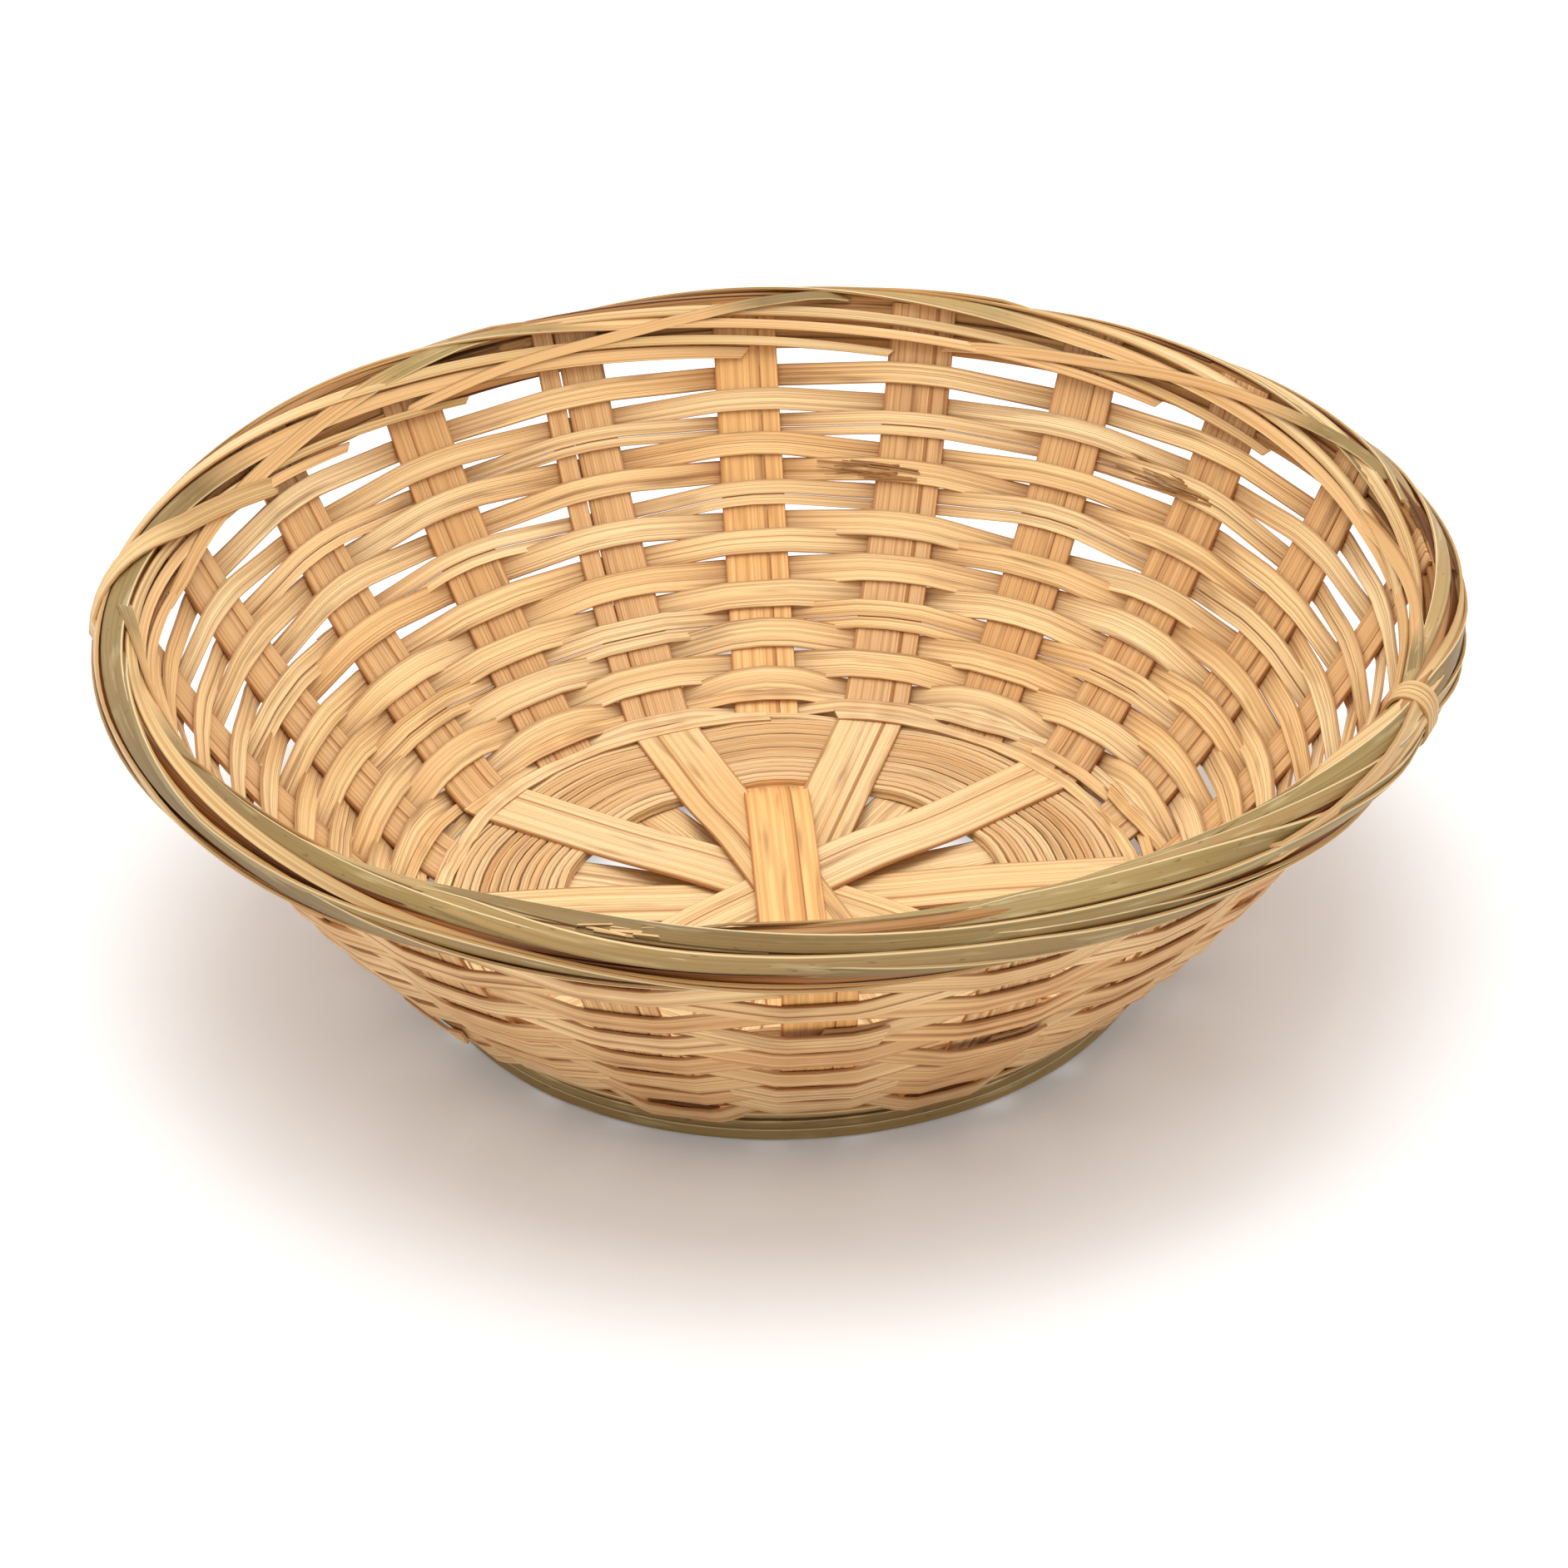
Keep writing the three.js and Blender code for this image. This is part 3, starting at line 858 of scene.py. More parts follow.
@dataclass
class SpokeStar:
    """The spoke strips: rim to rim through the star, each split lengthwise in the wall."""

    form: Form
    wall: Wall
    level_step: int = 3  # levels between strips that follow each other round the star
    corner_points: int = 8
    stake_gap: float = 3 * MM  # between the points that lead a stake up the wall
    head_share: float = 0.6  # of the crown's radius, by which the stakes stand into the border
    station_gap: float = 2.2 * MM
    smoothing: int = 4
    narrow_share: float = 0.3
    narrow_range: Range = (0.75, 1.15)
    width_range: Range = (1.07, 1.17)  # hand-split strips are not all one width
    slit: float = 0.4 * MM
    slit_range: Range = (-0.8, 1.0)  # below 0 the slit stays closed
    slit_run: float = 30 * MM  # length over which it opens
    least_slit: float = 0.03 * MM
    browned: float = 0.8  # how browned a strip is at the base's edge
    browning_run: float = 6 * MM  # length over which it browns from not at all to fully
    edge: float = 0.08 * MM
    pieces: list[Piece] = field(default_factory=list)

    def star_level(self, strip: int) -> float:
        """Gives a strip's height in the star.

        Args:
            strip: The strip's number.

        Returns:
            The height from the base's middle.
        """
        half = self.form.strips // 2
        if strip == self.form.lock_strip:
            return (half + 0.5) * self.form.hub_pitch
        order = (self.level_step * (strip // 2)) % half
        return (1 if strip % 2 == 0 else -1) * (order + 0.5) * self.form.hub_pitch

    def half_line(self, strip: int) -> list[Vector]:
        """Draws a strip's middle line from the star out to one end.

        Args:
            strip: The strip's number.

        Returns:
            Points of radius and height.
        """
        form, wall = self.form, self.wall
        over = strip % 2 == 0
        ring_z = form.base_z + (form.ring_lift if over else -form.ring_lift)
        clear_z = ring_z
        if strip == form.lock_strip:
            clear_z = form.base_z + form.ring_lift + form.hub_pitch
        first = wall.at(0.0)
        turn = first.point + first.up * ((ring_z - form.base_z) / first.up.y)
        ring_end = Vector((turn.x - wall.weave_start, ring_z))
        rise = wall.at(wall.weave_start).point
        corner = bent(ring_end, turn, rise, self.corner_points)
        count = math.ceil((wall.length - wall.weave_start) / self.stake_gap)
        stake = [wall.at(wall.weave_start + self.stake_gap * i).point for i in range(1, count)]
        return [
            Vector((form.same_side_radius, form.base_z + self.star_level(strip))),
            Vector((form.clear_radius, clear_z)),
            Vector((form.ring_radius - form.splint_thickness, ring_z)),
            *corner,
            *stake,
            wall.head + wall.rim.up * (self.head_share * form.crown_radius),
        ]

    def line(self, strip: int) -> list[Vector]:
        """Draws a strip's whole middle line, evenly spaced and eased at its bends.

        Args:
            strip: The strip's number.

        Returns:
            Points of distance along the strip's heading and height.
        """
        half = self.half_line(strip)
        corners = [Vector((-p.x, p.y)) for p in reversed(half)] + half
        points = [corners[0]]
        for near, far in zip(corners, corners[1:]):
            count = max(1, round((far - near).length / self.station_gap))
            points += [near.lerp(far, (i + 1) / count) for i in range(count)]
        for _ in range(self.smoothing):
            eased = [(a + 2 * b + c) / 4 for a, b, c in zip(points, points[1:], points[2:])]
            points = [points[0], *eased, points[-1]]
        return points

    def build(self) -> None:
        """Builds every spoke strip as a wide and a narrow lath side by side."""
        for strip in range(self.form.strips):
            piece = Piece(f"spoke_{strip + 1:02d}", f"spoke_strip_{strip + 1:02d}")
            rng = random.Random(f"spoke {strip}")
            heading = self.form.heading(strip)
            across = along(heading, 0, 1, 0)
            flank = rng.choice((-1, 1))
            narrow = self.narrow_share * rng.uniform(*self.narrow_range)
            full = self.form.spoke_width * rng.uniform(*self.width_range)
            slits = [self.slit * max(0.0, rng.uniform(*self.slit_range)) for _ in range(2)]
            wide = Path(full * (1 - narrow), self.form.spoke_thickness)
            thin = Path(full * narrow, self.form.spoke_thickness)
            for point in self.line(strip):
                far = abs(point.x) - self.form.base_diameter / 2
                opening = clamp(far / self.slit_run) * slits[point.x > 0] + self.least_slit
                aged = clamp(far / self.browning_run + self.browned)
                wide_left = -flank * (full * narrow / 2)
                thin_left = flank * (full * (1 - narrow) / 2 + opening)
                wide.add(along(heading, point.x, wide_left, point.y), across, course=aged)
                thin.add(along(heading, point.x, thin_left, point.y), across, course=aged)
            number = Grain.SPOKE + 2 * strip
            piece.lay(Lath(wide.stations(), number, cuts=4, edge=self.edge))
            piece.lay(Lath(thin.stations(), number, cuts=2, edge=self.edge))
            self.pieces.append(piece)

    def dress(self, finish: Material, lock: Material) -> None:
        """Gives every spoke its finish.

        Args:
            finish: The finish of the stakes.
            lock: The finish of the lock strip on top of the star.
        """
        for strip, piece in enumerate(self.pieces):
            own = lock if strip == self.form.lock_strip else finish
            piece.dress(Slot.SPOKE, own, own)


@dataclass
class BaseRing:
    """The spiralled base ring: fine splints on edge, over and under the spokes in turn."""

    form: Form
    wall: Wall
    thickness: float = 1.24 * MM
    wave: float = 0.34 * MM
    spans: int = 4  # cross-sections from one spoke to the next
    wander: float = 0.06 * MM  # sideways, from one cross-section to the next
    wander_kept: float = 0.85  # share of it that the next one takes over
    height_range: Range = (0.94, 1.04)
    extra_rounds: int = 2  # beyond the solids', to fill the corner
    extra_wave: float = 0.5 * MM
    extra_lift: float = 0.2 * MM
    edge: float = 0.12 * MM
    pieces: list[Piece] = field(default_factory=list)

    def build(self) -> None:
        """Builds the splints that follow one another round the spiral."""
        form = self.form
        rounds = int((form.base_diameter / 2 - self.wall.weave_start - form.ring_radius) / form.splint_pitch)
        share = 2 * (rounds * form.ends // (2 * form.splint_pieces))
        whole = (rounds + self.extra_rounds) * form.ends
        for number in range(form.splint_pieces):
            first = number * share
            last = whole if number == form.splint_pieces - 1 else first + share
            piece = Piece(f"splint_{number + 1:02d}", f"base_splint_{number + 1:02d}")
            rng = random.Random(f"splint {number}")
            path = Path(form.splint_height, self.thickness)
            sway = 0.0
            for i in range((last - first) * self.spans + 1):
                visit = first + i / self.spans
                sway = self.wander_kept * sway + rng.uniform(-1, 1) * self.wander
                beyond = max(0.0, visit / form.ends - rounds) / self.extra_rounds
                wave = self.wave + beyond * self.extra_wave
                height = form.base_z - wave * math.cos(math.pi * visit) + beyond * self.extra_lift
                out = form.ring_radius + form.splint_pitch * visit / form.ends + sway
                point = along(form.heading(visit), out, 0, height)
                path.add(point, Vector((0, 0, 1)), rng.uniform(*self.height_range))
            piece.lay(Lath(path.stations(), Grain.SPLINT + number, cuts=1, edge=self.edge))
            self.pieces.append(piece)

    def dress(self, finish: Material) -> None:
        """Gives the splints their finish."""
        for piece in self.pieces:
            piece.dress(Slot.SPLINT, finish, finish)


@dataclass(frozen=True)
class Crossing:
    """How a strip passes one stake: where, how far outside its middle, and how it lies there."""

    heading: float
    mark: float
    offset: float
    lean: float
    shade: float
    share: float


@dataclass(frozen=True)
class CornerRow:
    """Loose strips in the corner between base and wall: their height up the wall and how they lie."""

    mark: float
    over: float  # distance outside the stakes' middle where a spoke lies on the ring
    under: float  # the same where a spoke lies below the ring
    lean: float
    strips: int


@dataclass(frozen=True)
class TornFibres:
    """Torn fibres of a broken strip: how many there are, and how differently they lie."""

    count: int = 12
    points: int = 7
    thickness: float = 0.2 * MM
    edge: float = 0.05 * MM
    stand: float = 0.06  # how steeply they stand off the strip by their ends
    taper: float = 0.1  # share of the width that is lost from point to point
    inside: Range = (0.2 * MM, 0.45 * MM)  # distance inside the strip's middle
    start: Range = (-3 * MM, 5 * MM)
    up: Range = (-1.5 * MM, 1.5 * MM)
    climb: Range = (-0.1, 0.1)
    length: Range = (6 * MM, 14 * MM)
    width: Range = (0.2 * MM, 0.6 * MM)


@dataclass
class SideWeave:
    """The side rows: one flat strip each, in front of one stake and behind the next."""

    form: Form
    wall: Wall
    width: float = 5.3 * MM  # of the first row
    top_width: float = 3.7 * MM
    row_range: Range = (0.93, 1.07)  # a strip's width from row to row
    stake_range: Range = (0.92, 1.05)  # and from stake to stake
    thickness: float = 0.5 * MM
    crown: float = 0.05 * MM
    skew: float = 0.4
    rise: float = 0.3 * MM  # a strip settles this far up where it passes inside a stake
    drop: float = 0.5 * MM  # and this far down where it passes outside
    loose_drop: float = 0.8 * MM  # the same in the top row, where the strips lie more open
    drape: float = 1.2 * MM  # the first row hangs this much lower outside, over the foot
    drape_out: float = 0.75 * MM  # and this much further out, clear of the foot's band
    top_rise: float = 1.7 * MM  # the top rows are pushed up against the border
    wander: float = 0.5 * MM
    sway: float = 0.9 * MM  # a row's slow rise and fall on its way round, most halfway up
    sway_waves: int = 2  # rises and falls in a round
    stake_share: float = 1.12  # hand-split stakes are wider than the form's by this
    spans: int = 12  # cross-sections from one stake to the next
    tail_spans: int = 5  # cross-sections of a strip's end past its last stake
    start_step: int = 6  # stakes from one row's start to the next's
    laps: int = 2  # stakes that a strip comes to again on its own start
    lean: float = math.radians(-4)  # strips overlap like boards: the lower edge stands out
    gap_lean: float = math.radians(-5)  # more so between two stakes
    twist: float = math.radians(4)
    dust_and_shade_edge: float = 0.16  # share of the way to the next stake where a strip is brownest, from dust and painted shade
    dust_and_shade_least: float = 0.35  # share of that brown at the stake's middle
    dust_and_shade_fade: int = 3  # power of its fading on the way
    split_rows: tuple[int, ...] = (3, 8, 11)
    halves: tuple[tuple[float, float], ...] = ((0.58, 0.21), (0.4, -0.3))  # their widths and middles
    frays: tuple[tuple[int, int], ...] = ((9, 4), (11, 2))  # row and stake of each broken stretch
    fibres: TornFibres = TornFibres()
    corner_rows: tuple[CornerRow, ...] = (
        CornerRow(mark=3.0 * MM, over=0.6 * MM, under=-0.95 * MM, lean=0.0, strips=2),
        CornerRow(mark=1.2 * MM, over=-1.75 * MM, under=0.4 * MM, lean=math.radians(12), strips=3),
        CornerRow(mark=-0.9 * MM, over=-2.85 * MM, under=-2.8 * MM, lean=math.radians(30), strips=3),
    )
    corner_width: float = 2.5 * MM
    corner_range: Range = (0.8, 1.15)  # a corner strip's width from strip to strip
    corner_stakes: Range = (0.8, 1.1)  # and from stake to stake
    corner_step: float = 2.3  # stakes from one level's start to the next's
    corner_laps: tuple[int, int] = (2, 3)  # stakes that a strip shares with the next one
    corner_wander: float = 0.7 * MM
    # painted shade on the corner strips, which lie down in the corner between base and wall
    corner_shade: float = 0.5
    corner_skew: float = 0.5
    pieces: list[Piece] = field(default_factory=list)

    def crossing(self, row: int, end: int, lap: float = 0.0) -> Crossing:
        """Works out how a row passes a stake.

        Args:
            row: The row, from the base up.
            end: The stake, counted on past a full round.
            lap: Distance further out, where a strip lies on its own start.

        Returns:
            The crossing, browner behind the stake: dust, and painted shade where the stake hides the strip.
        """
        form, wall = self.form, self.wall
        rng = random.Random(f"crossing {row} {end % form.ends}")
        outside = (row + end) % 2 == 0
        loose = max(0.0, (row + 1) / form.rows - 0.5) * 2  # from 0 halfway up to 1 in the top row
        drop = self.drop + (self.loose_drop - self.drop) * loose * loose
        mark = wall.weave_start + (row + 0.5) * wall.row_pitch
        mark += self.top_rise * (row / (form.rows - 1)) ** 2
        mark += -drop if outside else self.rise
        mark += rng.uniform(-self.wander, self.wander)
        phase = random.Random(f"sway {row}").uniform(0, 2 * math.pi)
        swing = self.sway * math.sin(math.pi * row / (form.rows - 1))
        mark += swing * math.sin(self.sway_waves * form.heading(end) + phase)
        offset = form.row_offset if outside else -form.row_offset
        if row == 0 and outside:
            mark -= self.drape
            offset += self.drape_out
        # painted shade, with some dust: seen from inside, a strip is shaded where it passes behind a stake
        shade = 1.0 if outside else 0.0
        share = rng.uniform(*self.stake_range)
        return Crossing(form.heading(end), mark, offset + lap, self.lean, shade, share)

    def lead(self, path: Path, before: Crossing, after: Crossing, turn: float, spans: int) -> None:
        """Leads a strip from one stake to the next: flat on the stake, then across the gap.

        Args:
            path: The strip's path so far.
            before: The stake that it leaves.
            after: The stake that it comes to.
            turn: How far it twists between them.
            spans: How many cross-sections it gets, fewer where it ends on the way.
        """
        turned_by = after.heading - before.heading
        half_stake = self.stake_share * self.form.spoke_width / 2
        edge = math.atan(half_stake / self.wall.at(before.mark).point.x)
        for i in range(spans):
            share = i / self.spans
            smooth = (1 - math.cos(math.pi * share)) / 2
            rise = (share + smooth) / 2
            slope = self.wall.at(before.mark + (after.mark - before.mark) * rise)
            across = clamp((turned_by * share - edge) / (turned_by - 2 * edge))
            point = slope.point + slope.out * (before.offset + (after.offset - before.offset) * across)
            heading = before.heading + turned_by * share
            out = point.x * self.straight(turned_by * share, turned_by, edge)
            lean = before.lean + (after.lean - before.lean) * share
            # the last value is its browning: painted shade and dust near the stakes that hide it
            path.add(
                along(heading, out, 0, point.y),
                along(heading, slope.up.x, 0, slope.up.y),
                before.share + (after.share - before.share) * share,
                lean + (self.gap_lean + turn) * math.sin(math.pi * share),
                before.shade * self.dust_and_shade(share) + after.shade * self.dust_and_shade(1 - share),
            )

    def straight(self, turn: float, step: float, edge: float) -> float:
        """Tells how a stiff strip leaves the round: flat on a stake's face, then straight to the next.

        Args:
            turn: Angle from the stake that it leaves.
            step: Angle between the two stakes.
            edge: Angle from a stake's middle to its edge.

        Returns:
            The strip's distance from the basket's middle, as a share of the round one.
        """
        near = min(turn, step - turn)
        if near <= edge:
            return 1 / math.cos(near)
        return math.cos(step / 2 - edge) / (math.cos(edge) * math.cos(step / 2 - near))

    def dust_and_shade(self, share: float) -> float:
        """Tells how brown a strip is on its way from one stake to the next, from dust and painted shade:
        most at the stake's edge.
        """
        gathered = self.dust_and_shade_least + (1 - self.dust_and_shade_least) * min(1.0, share / self.dust_and_shade_edge)
        return (1 - share) ** self.dust_and_shade_fade * gathered

    def strip(self, crossings: Sequence[Crossing], width: float, rng: random.Random) -> Path:
        """Draws the line of a strip past its stakes.

        Args:
            crossings: The stakes in order; the strip ends on its way to the last.
            width: The strip's width.
            rng: The strip's own random numbers.

        Returns:
            The strip's path.
        """
        path = Path(width, self.thickness)
        for before, after in zip(crossings, crossings[1:]):
            spans = self.tail_spans if after is crossings[-1] else self.spans
            self.lead(path, before, after, rng.uniform(-self.twist, self.twist), spans)
        return path

    def lay_row(self, piece: Piece, row: int) -> None:
        """Lays a row's strip once round, its end on its start, whole or split in two lengthwise.

        Args:
            piece: The piece that it belongs to.
            row: The row, from the base up.
        """
        form = self.form
        rng = random.Random(f"row {row}")
        start = self.start_step * row + row % 2
        lap = form.row_thickness + form.lay_gap
        crossings = [self.crossing(row, start + visit) for visit in range(form.ends)]
        crossings += [self.crossing(row, start + form.ends + past, lap) for past in range(self.laps)]
        width = self.width + (self.top_width - self.width) * row / (form.rows - 1)
        width *= rng.uniform(*self.row_range)
        stations = self.strip(crossings, width, rng).stations()
        number = Grain.ROW + row
        if row not in self.split_rows:
            piece.lay(Lath(stations, number, cuts=3, crown=self.crown, skew=self.skew))
            return
        for share, middle in self.halves:
            piece.lay(Lath(lengthwise(stations, share, middle), number, cuts=2, skew=self.skew))

    def lay_corner(self, piece: Piece) -> None:
        """Lays the narrow loose strips that close the corner between base and wall.

        Args:
            piece: The piece that they belong to.
        """
        form = self.form
        for level, row in enumerate(self.corner_rows):
            for number in range(row.strips):
                rng = random.Random(f"corner {level} {number}")
                first = round(form.ends * number / row.strips + self.corner_step * level)
                crossings = []
                for end in range(first, first + form.ends // row.strips + rng.randint(*self.corner_laps)):
                    offset = row.over if end % 2 == 0 else row.under
                    mark = row.mark + rng.uniform(-self.corner_wander, self.corner_wander)
                    share = rng.uniform(*self.corner_stakes)
                    crossings.append(
                        Crossing(form.heading(end), mark, offset, row.lean, self.corner_shade, share)
                    )
                width = self.corner_width * rng.uniform(*self.corner_range)
                path = self.strip(crossings, width, rng)
                grain = Grain.CORNER + 4 * level + number
                piece.lay(Lath(path.stations(), grain, cuts=2, skew=self.corner_skew))

    def lay_fray(self, piece: Piece, row: int, end: int) -> None:
        """Lays a broken, browned stretch: torn fibres along a strip where it passes inside a stake.

        Args:
            piece: The piece that it belongs to.
            row: The row of the strip.
            end: The stake beside it.
        """
        rng = random.Random(f"fray {row} {end}")
        now = self.crossing(row, end)
        slope = self.wall.at(now.mark)
        point = slope.point + slope.out * now.offset
        side = along(now.heading, slope.up.x, 0, slope.up.y)
        torn = self.fibres
        for fibre in range(torn.count):
            inside = point.x - rng.uniform(*torn.inside)
            start = rng.uniform(*torn.start)
            up = rng.uniform(*torn.up)
            climb = rng.uniform(*torn.climb)
            length = rng.uniform(*torn.length)
            path = Path(rng.uniform(*torn.width), torn.thickness)
            for i in range(torn.points):
                share = i / (torn.points - 1)
                run = length * share
                middle = along(now.heading, inside - torn.stand * run * share, start + run, point.y)
                path.add(middle + side * (up + climb * run), side, 1 - torn.taper * i)
            piece.lay(Lath(path.stations(), Grain.FIBRE + fibre, cuts=1, edge=torn.edge, **BROWNED))

    def build(self) -> None:
        """Builds every row's strip, the corner strips with the first and the broken ends."""
        for row in range(self.form.rows):
            piece = Piece(f"weaver_{row + 1:02d}", f"side_weaver_{row + 1:02d}")
            self.lay_row(piece, row)
            if row == 0:
                self.lay_corner(piece)
            for frayed, end in self.frays:
                if frayed == row:
                    self.lay_fray(piece, row, end)
            self.pieces.append(piece)

    def dress(self, outside: Material, inside: Material, broken: Material) -> None:
        """Gives every row its finishes.

        Args:
            outside: Finish of the strips' outer faces.
            inside: Finish of their inner faces and edges.
            broken: Finish of the torn fibres.
        """
        for piece in self.pieces:
            piece.dress(Slot.WEAVER, outside, inside, broken)


@dataclass(frozen=True)
class Winding:
    """How a strip is wound over the border: where it starts and ends, and how it lies."""

    label: str  # sets its random numbers
    first: float  # heading of its start
    run: float  # angle that it runs through
    start: float  # length of the outline at its start
    end: float  # and at its end
    width: float
    thickness: float
    lift: float  # of its middle off the outline
    tilt: float = 0.0
    inner_share: float = 1.0  # of its width, which it has on the inside
    sway: float = 0.0


@dataclass(frozen=True)
class StripRanges:
    """How differently a band's wide strips are cut and wound: shares of the border's own sizes."""

    start: Range = (0.35, 0.6)  # of the crown, for the strip that starts on it
    run: Range = (0.94, 1.06)
    width: Range = (0.72, 1.25)
    lift: Range = (-0.25 * MM, 0.45 * MM)  # a length that is added, not a share
    tilt: Range = (0.4, 1.4)
    sway: Range = (0.7, 1.2)


@dataclass(frozen=True)
class LooseRanges:
    """How differently a kind of loose strip is cut and wound over the border."""

    first: Range  # heading of its start
    run: Range  # angle that it runs through
    start: Range  # length of the outline at its start
    end: Range  # and at its end
    width: Range
    lift: Range
    thickness: float
    tilt: Range = (0.0, 0.0)
    sway: float = 0.0


@dataclass
class Border:
    """The rolled border: a core of splints outside the stakes, wound with long skin-on strips."""

    form: Form
    wall: Wall
    outline: Outline
    run: float = math.radians(185)
    station_angle: float = math.radians(2.0)
    least_stations: int = 8
    strips: int = 3
    strip_width: float = 2.8 * MM
    strip_thickness: float = 0.5 * MM
    strip_lift: float = 0.5 * MM
    strip_crown: float = 0.12 * MM
    skew: float = 0.8
    vary: StripRanges = StripRanges()
    crown_strip: int = 1  # the one of a band's strips that starts on the crown
    back_strip: int = 2  # the one that shows its back, except at the front
    front: float = math.radians(275)  # heading of the front's middle
    front_half: float = math.radians(55)  # from there to either end of the front
    inner_share: float = 0.68  # of its width, which a strip has on the inside
    inner_end: float = 0.7  # share of the inside's length where it begins to widen
    widening: float = 5 * MM  # length of the outline over which it does
    tilt: float = math.radians(17)
    sway: float = 0.9 * MM
    tuck_depth: float = 0.25 * MM  # strips' ends go under their neighbours
    tuck_share: float = 0.06  # of a strip's length, at either end
    tuck_width: float = 0.85  # share of the width at the very end
    core_splints: int = 5
    core_pitch: float = 1.75 * MM
    core_width: float = 1.08  # of a splint, in pitches
    core_rise: float = 0.9  # of the first splint above the stakes' heads, in pitches
    core_top: float = 0.55  # share of the crown's radius above which the room for splints narrows
    core_taper: float = 1.5  # how fast it narrows
    core_range: Range = (1.2 * MM, 3.6 * MM)  # least and most thickness of a splint
    core_step: float = math.radians(3)
    core_lap: float = math.radians(12)
    core_shift: float = 2.0  # angle from one splint's start to the next's
    core_drift: float = 0.25 * MM
    core_waves: tuple[tuple[int, float], ...] = ((2, 1.0), (5, 0.6))  # drifts in a round, and their share
    core_edge: float = 0.2 * MM
    under_shift: float = 1.5  # angle from a band's start to its under strip's
    under_run: float = 3.8
    under_start: float = 0.6  # share of the crown
    under_thickness: float = 0.4 * MM
    under_lift: float = -0.35 * MM
    slivers: LooseRanges = LooseRanges(
        first=(0.0, 0.8),
        run=(0.6, 1.1),
        start=(7 * MM, 11 * MM),
        end=(0.0, 2 * MM),
        width=(1.6 * MM, 2.8 * MM),
        lift=(0.8 * MM, 1.2 * MM),
        thickness=0.4 * MM,
        sway=0.3 * MM,
    )
    stray: Winding = Winding(
        label="crossing",
        first=math.radians(148),
        run=math.radians(37),
        start=0.5 * MM,
        end=14 * MM,
        width=3.2 * MM,
        thickness=0.5 * MM,
        lift=1.35 * MM,
    )
    shaving_count: int = 7
    shaving_place: float = 0.55  # share of the crown
    shaving_edge: float = 0.04 * MM
    shavings: LooseRanges = LooseRanges(
        first=(math.radians(252), math.radians(259)),
        run=(math.radians(2), math.radians(4.5)),
        start=(-0.5 * MM, 0.5 * MM),  # from their place on the crown
        end=(-0.9 * MM, 0.9 * MM),  # from their own start
        width=(0.25 * MM, 0.5 * MM),
        lift=(0.7 * MM, 1.2 * MM),
        thickness=0.15 * MM,
        tilt=(math.radians(-40), math.radians(40)),
    )
    pinch: float = 1.0 * MM  # the tie draws the strips together
    pinch_angle: float = math.radians(6)
    tie_ribs: int = 4
    tie_points: int = 30
    tie_clear: float = 0.45 * MM  # between the outline and the tie's middle
    rib_gap: float = 0.1 * MM
    rib_crown: float = 0.03 * MM
    tail_place: float = 0.75  # share of the crown where the tie's loose tail ends
    tail_run: float = 0.47
    tail_past: float = 0.01  # angle from the tie's middle on to its end
    tail_fall: float = 2.5 * MM
    tail_width: float = 3.8 * MM
    tail_thickness: float = 0.4 * MM
    tail_lift: float = 0.9 * MM
    core: list[Piece] = field(default_factory=list)
    bands: list[Piece] = field(default_factory=list)
    tie: list[Piece] = field(default_factory=list)

    def wind(self, winding: Winding) -> Path:
        """Draws a strip wound over the border.

        Args:
            winding: Where it runs and how it lies.

        Returns:
            The strip's path.
        """
        rng = random.Random(winding.label)
        phases = [rng.uniform(0, 2 * math.pi) for _ in range(2)]
        path = Path(winding.width, winding.thickness)
        count = max(self.least_stations, int(winding.run / self.station_angle))
        for i in range(count + 1):
            share = i / count
            sway = sum(math.sin((k + 1) * math.pi * 2 * share + phases[k]) / (k + 1) for k in range(2))
            course = winding.start + (winding.end - winding.start) * share
            course += winding.sway * sway * math.sin(math.pi * share)
            course = clamp(course, self.outline.length)
            tuck = min(1.0, share / self.tuck_share, (1 - share) / self.tuck_share)
            place = self.outline.at(course)
            heading = winding.first + winding.run * share
            lift = winding.lift - (1 - tuck) * (winding.lift + self.tuck_depth)
            lift -= self.pinch * self.near_tie(heading)
            point = place.point + place.out * lift
            outer = clamp((course - self.inner_end * self.outline.inside) / self.widening)
            narrow = winding.inner_share + (1 - winding.inner_share) * outer
            path.add(
                along(heading, point.x, 0, point.y),
                along(heading, place.up.x, 0, place.up.y),
                narrow * (self.tuck_width + (1 - self.tuck_width) * tuck),
                winding.tilt * tuck * (1 - self.near_tie(heading)),
                course / self.outline.length,
            )
        return path

    def near_tie(self, heading: float) -> float:
        """Tells how close a heading is to the tie.

        Args:
            heading: A heading on the border.

        Returns:
            1 at the tie, falling to 0 away from it.
        """
        away = heading - self.form.heading(self.form.tie_gap + 0.5)
        away = math.remainder(away, 2 * math.pi)
        return math.exp(-((away / self.pinch_angle) ** 2))

    def build(self) -> None:
        """Builds the core, the wound strips and the tie."""
        self.build_core()
        for band in range(self.form.bands):
            self.build_band(band)
        self.build_tie()

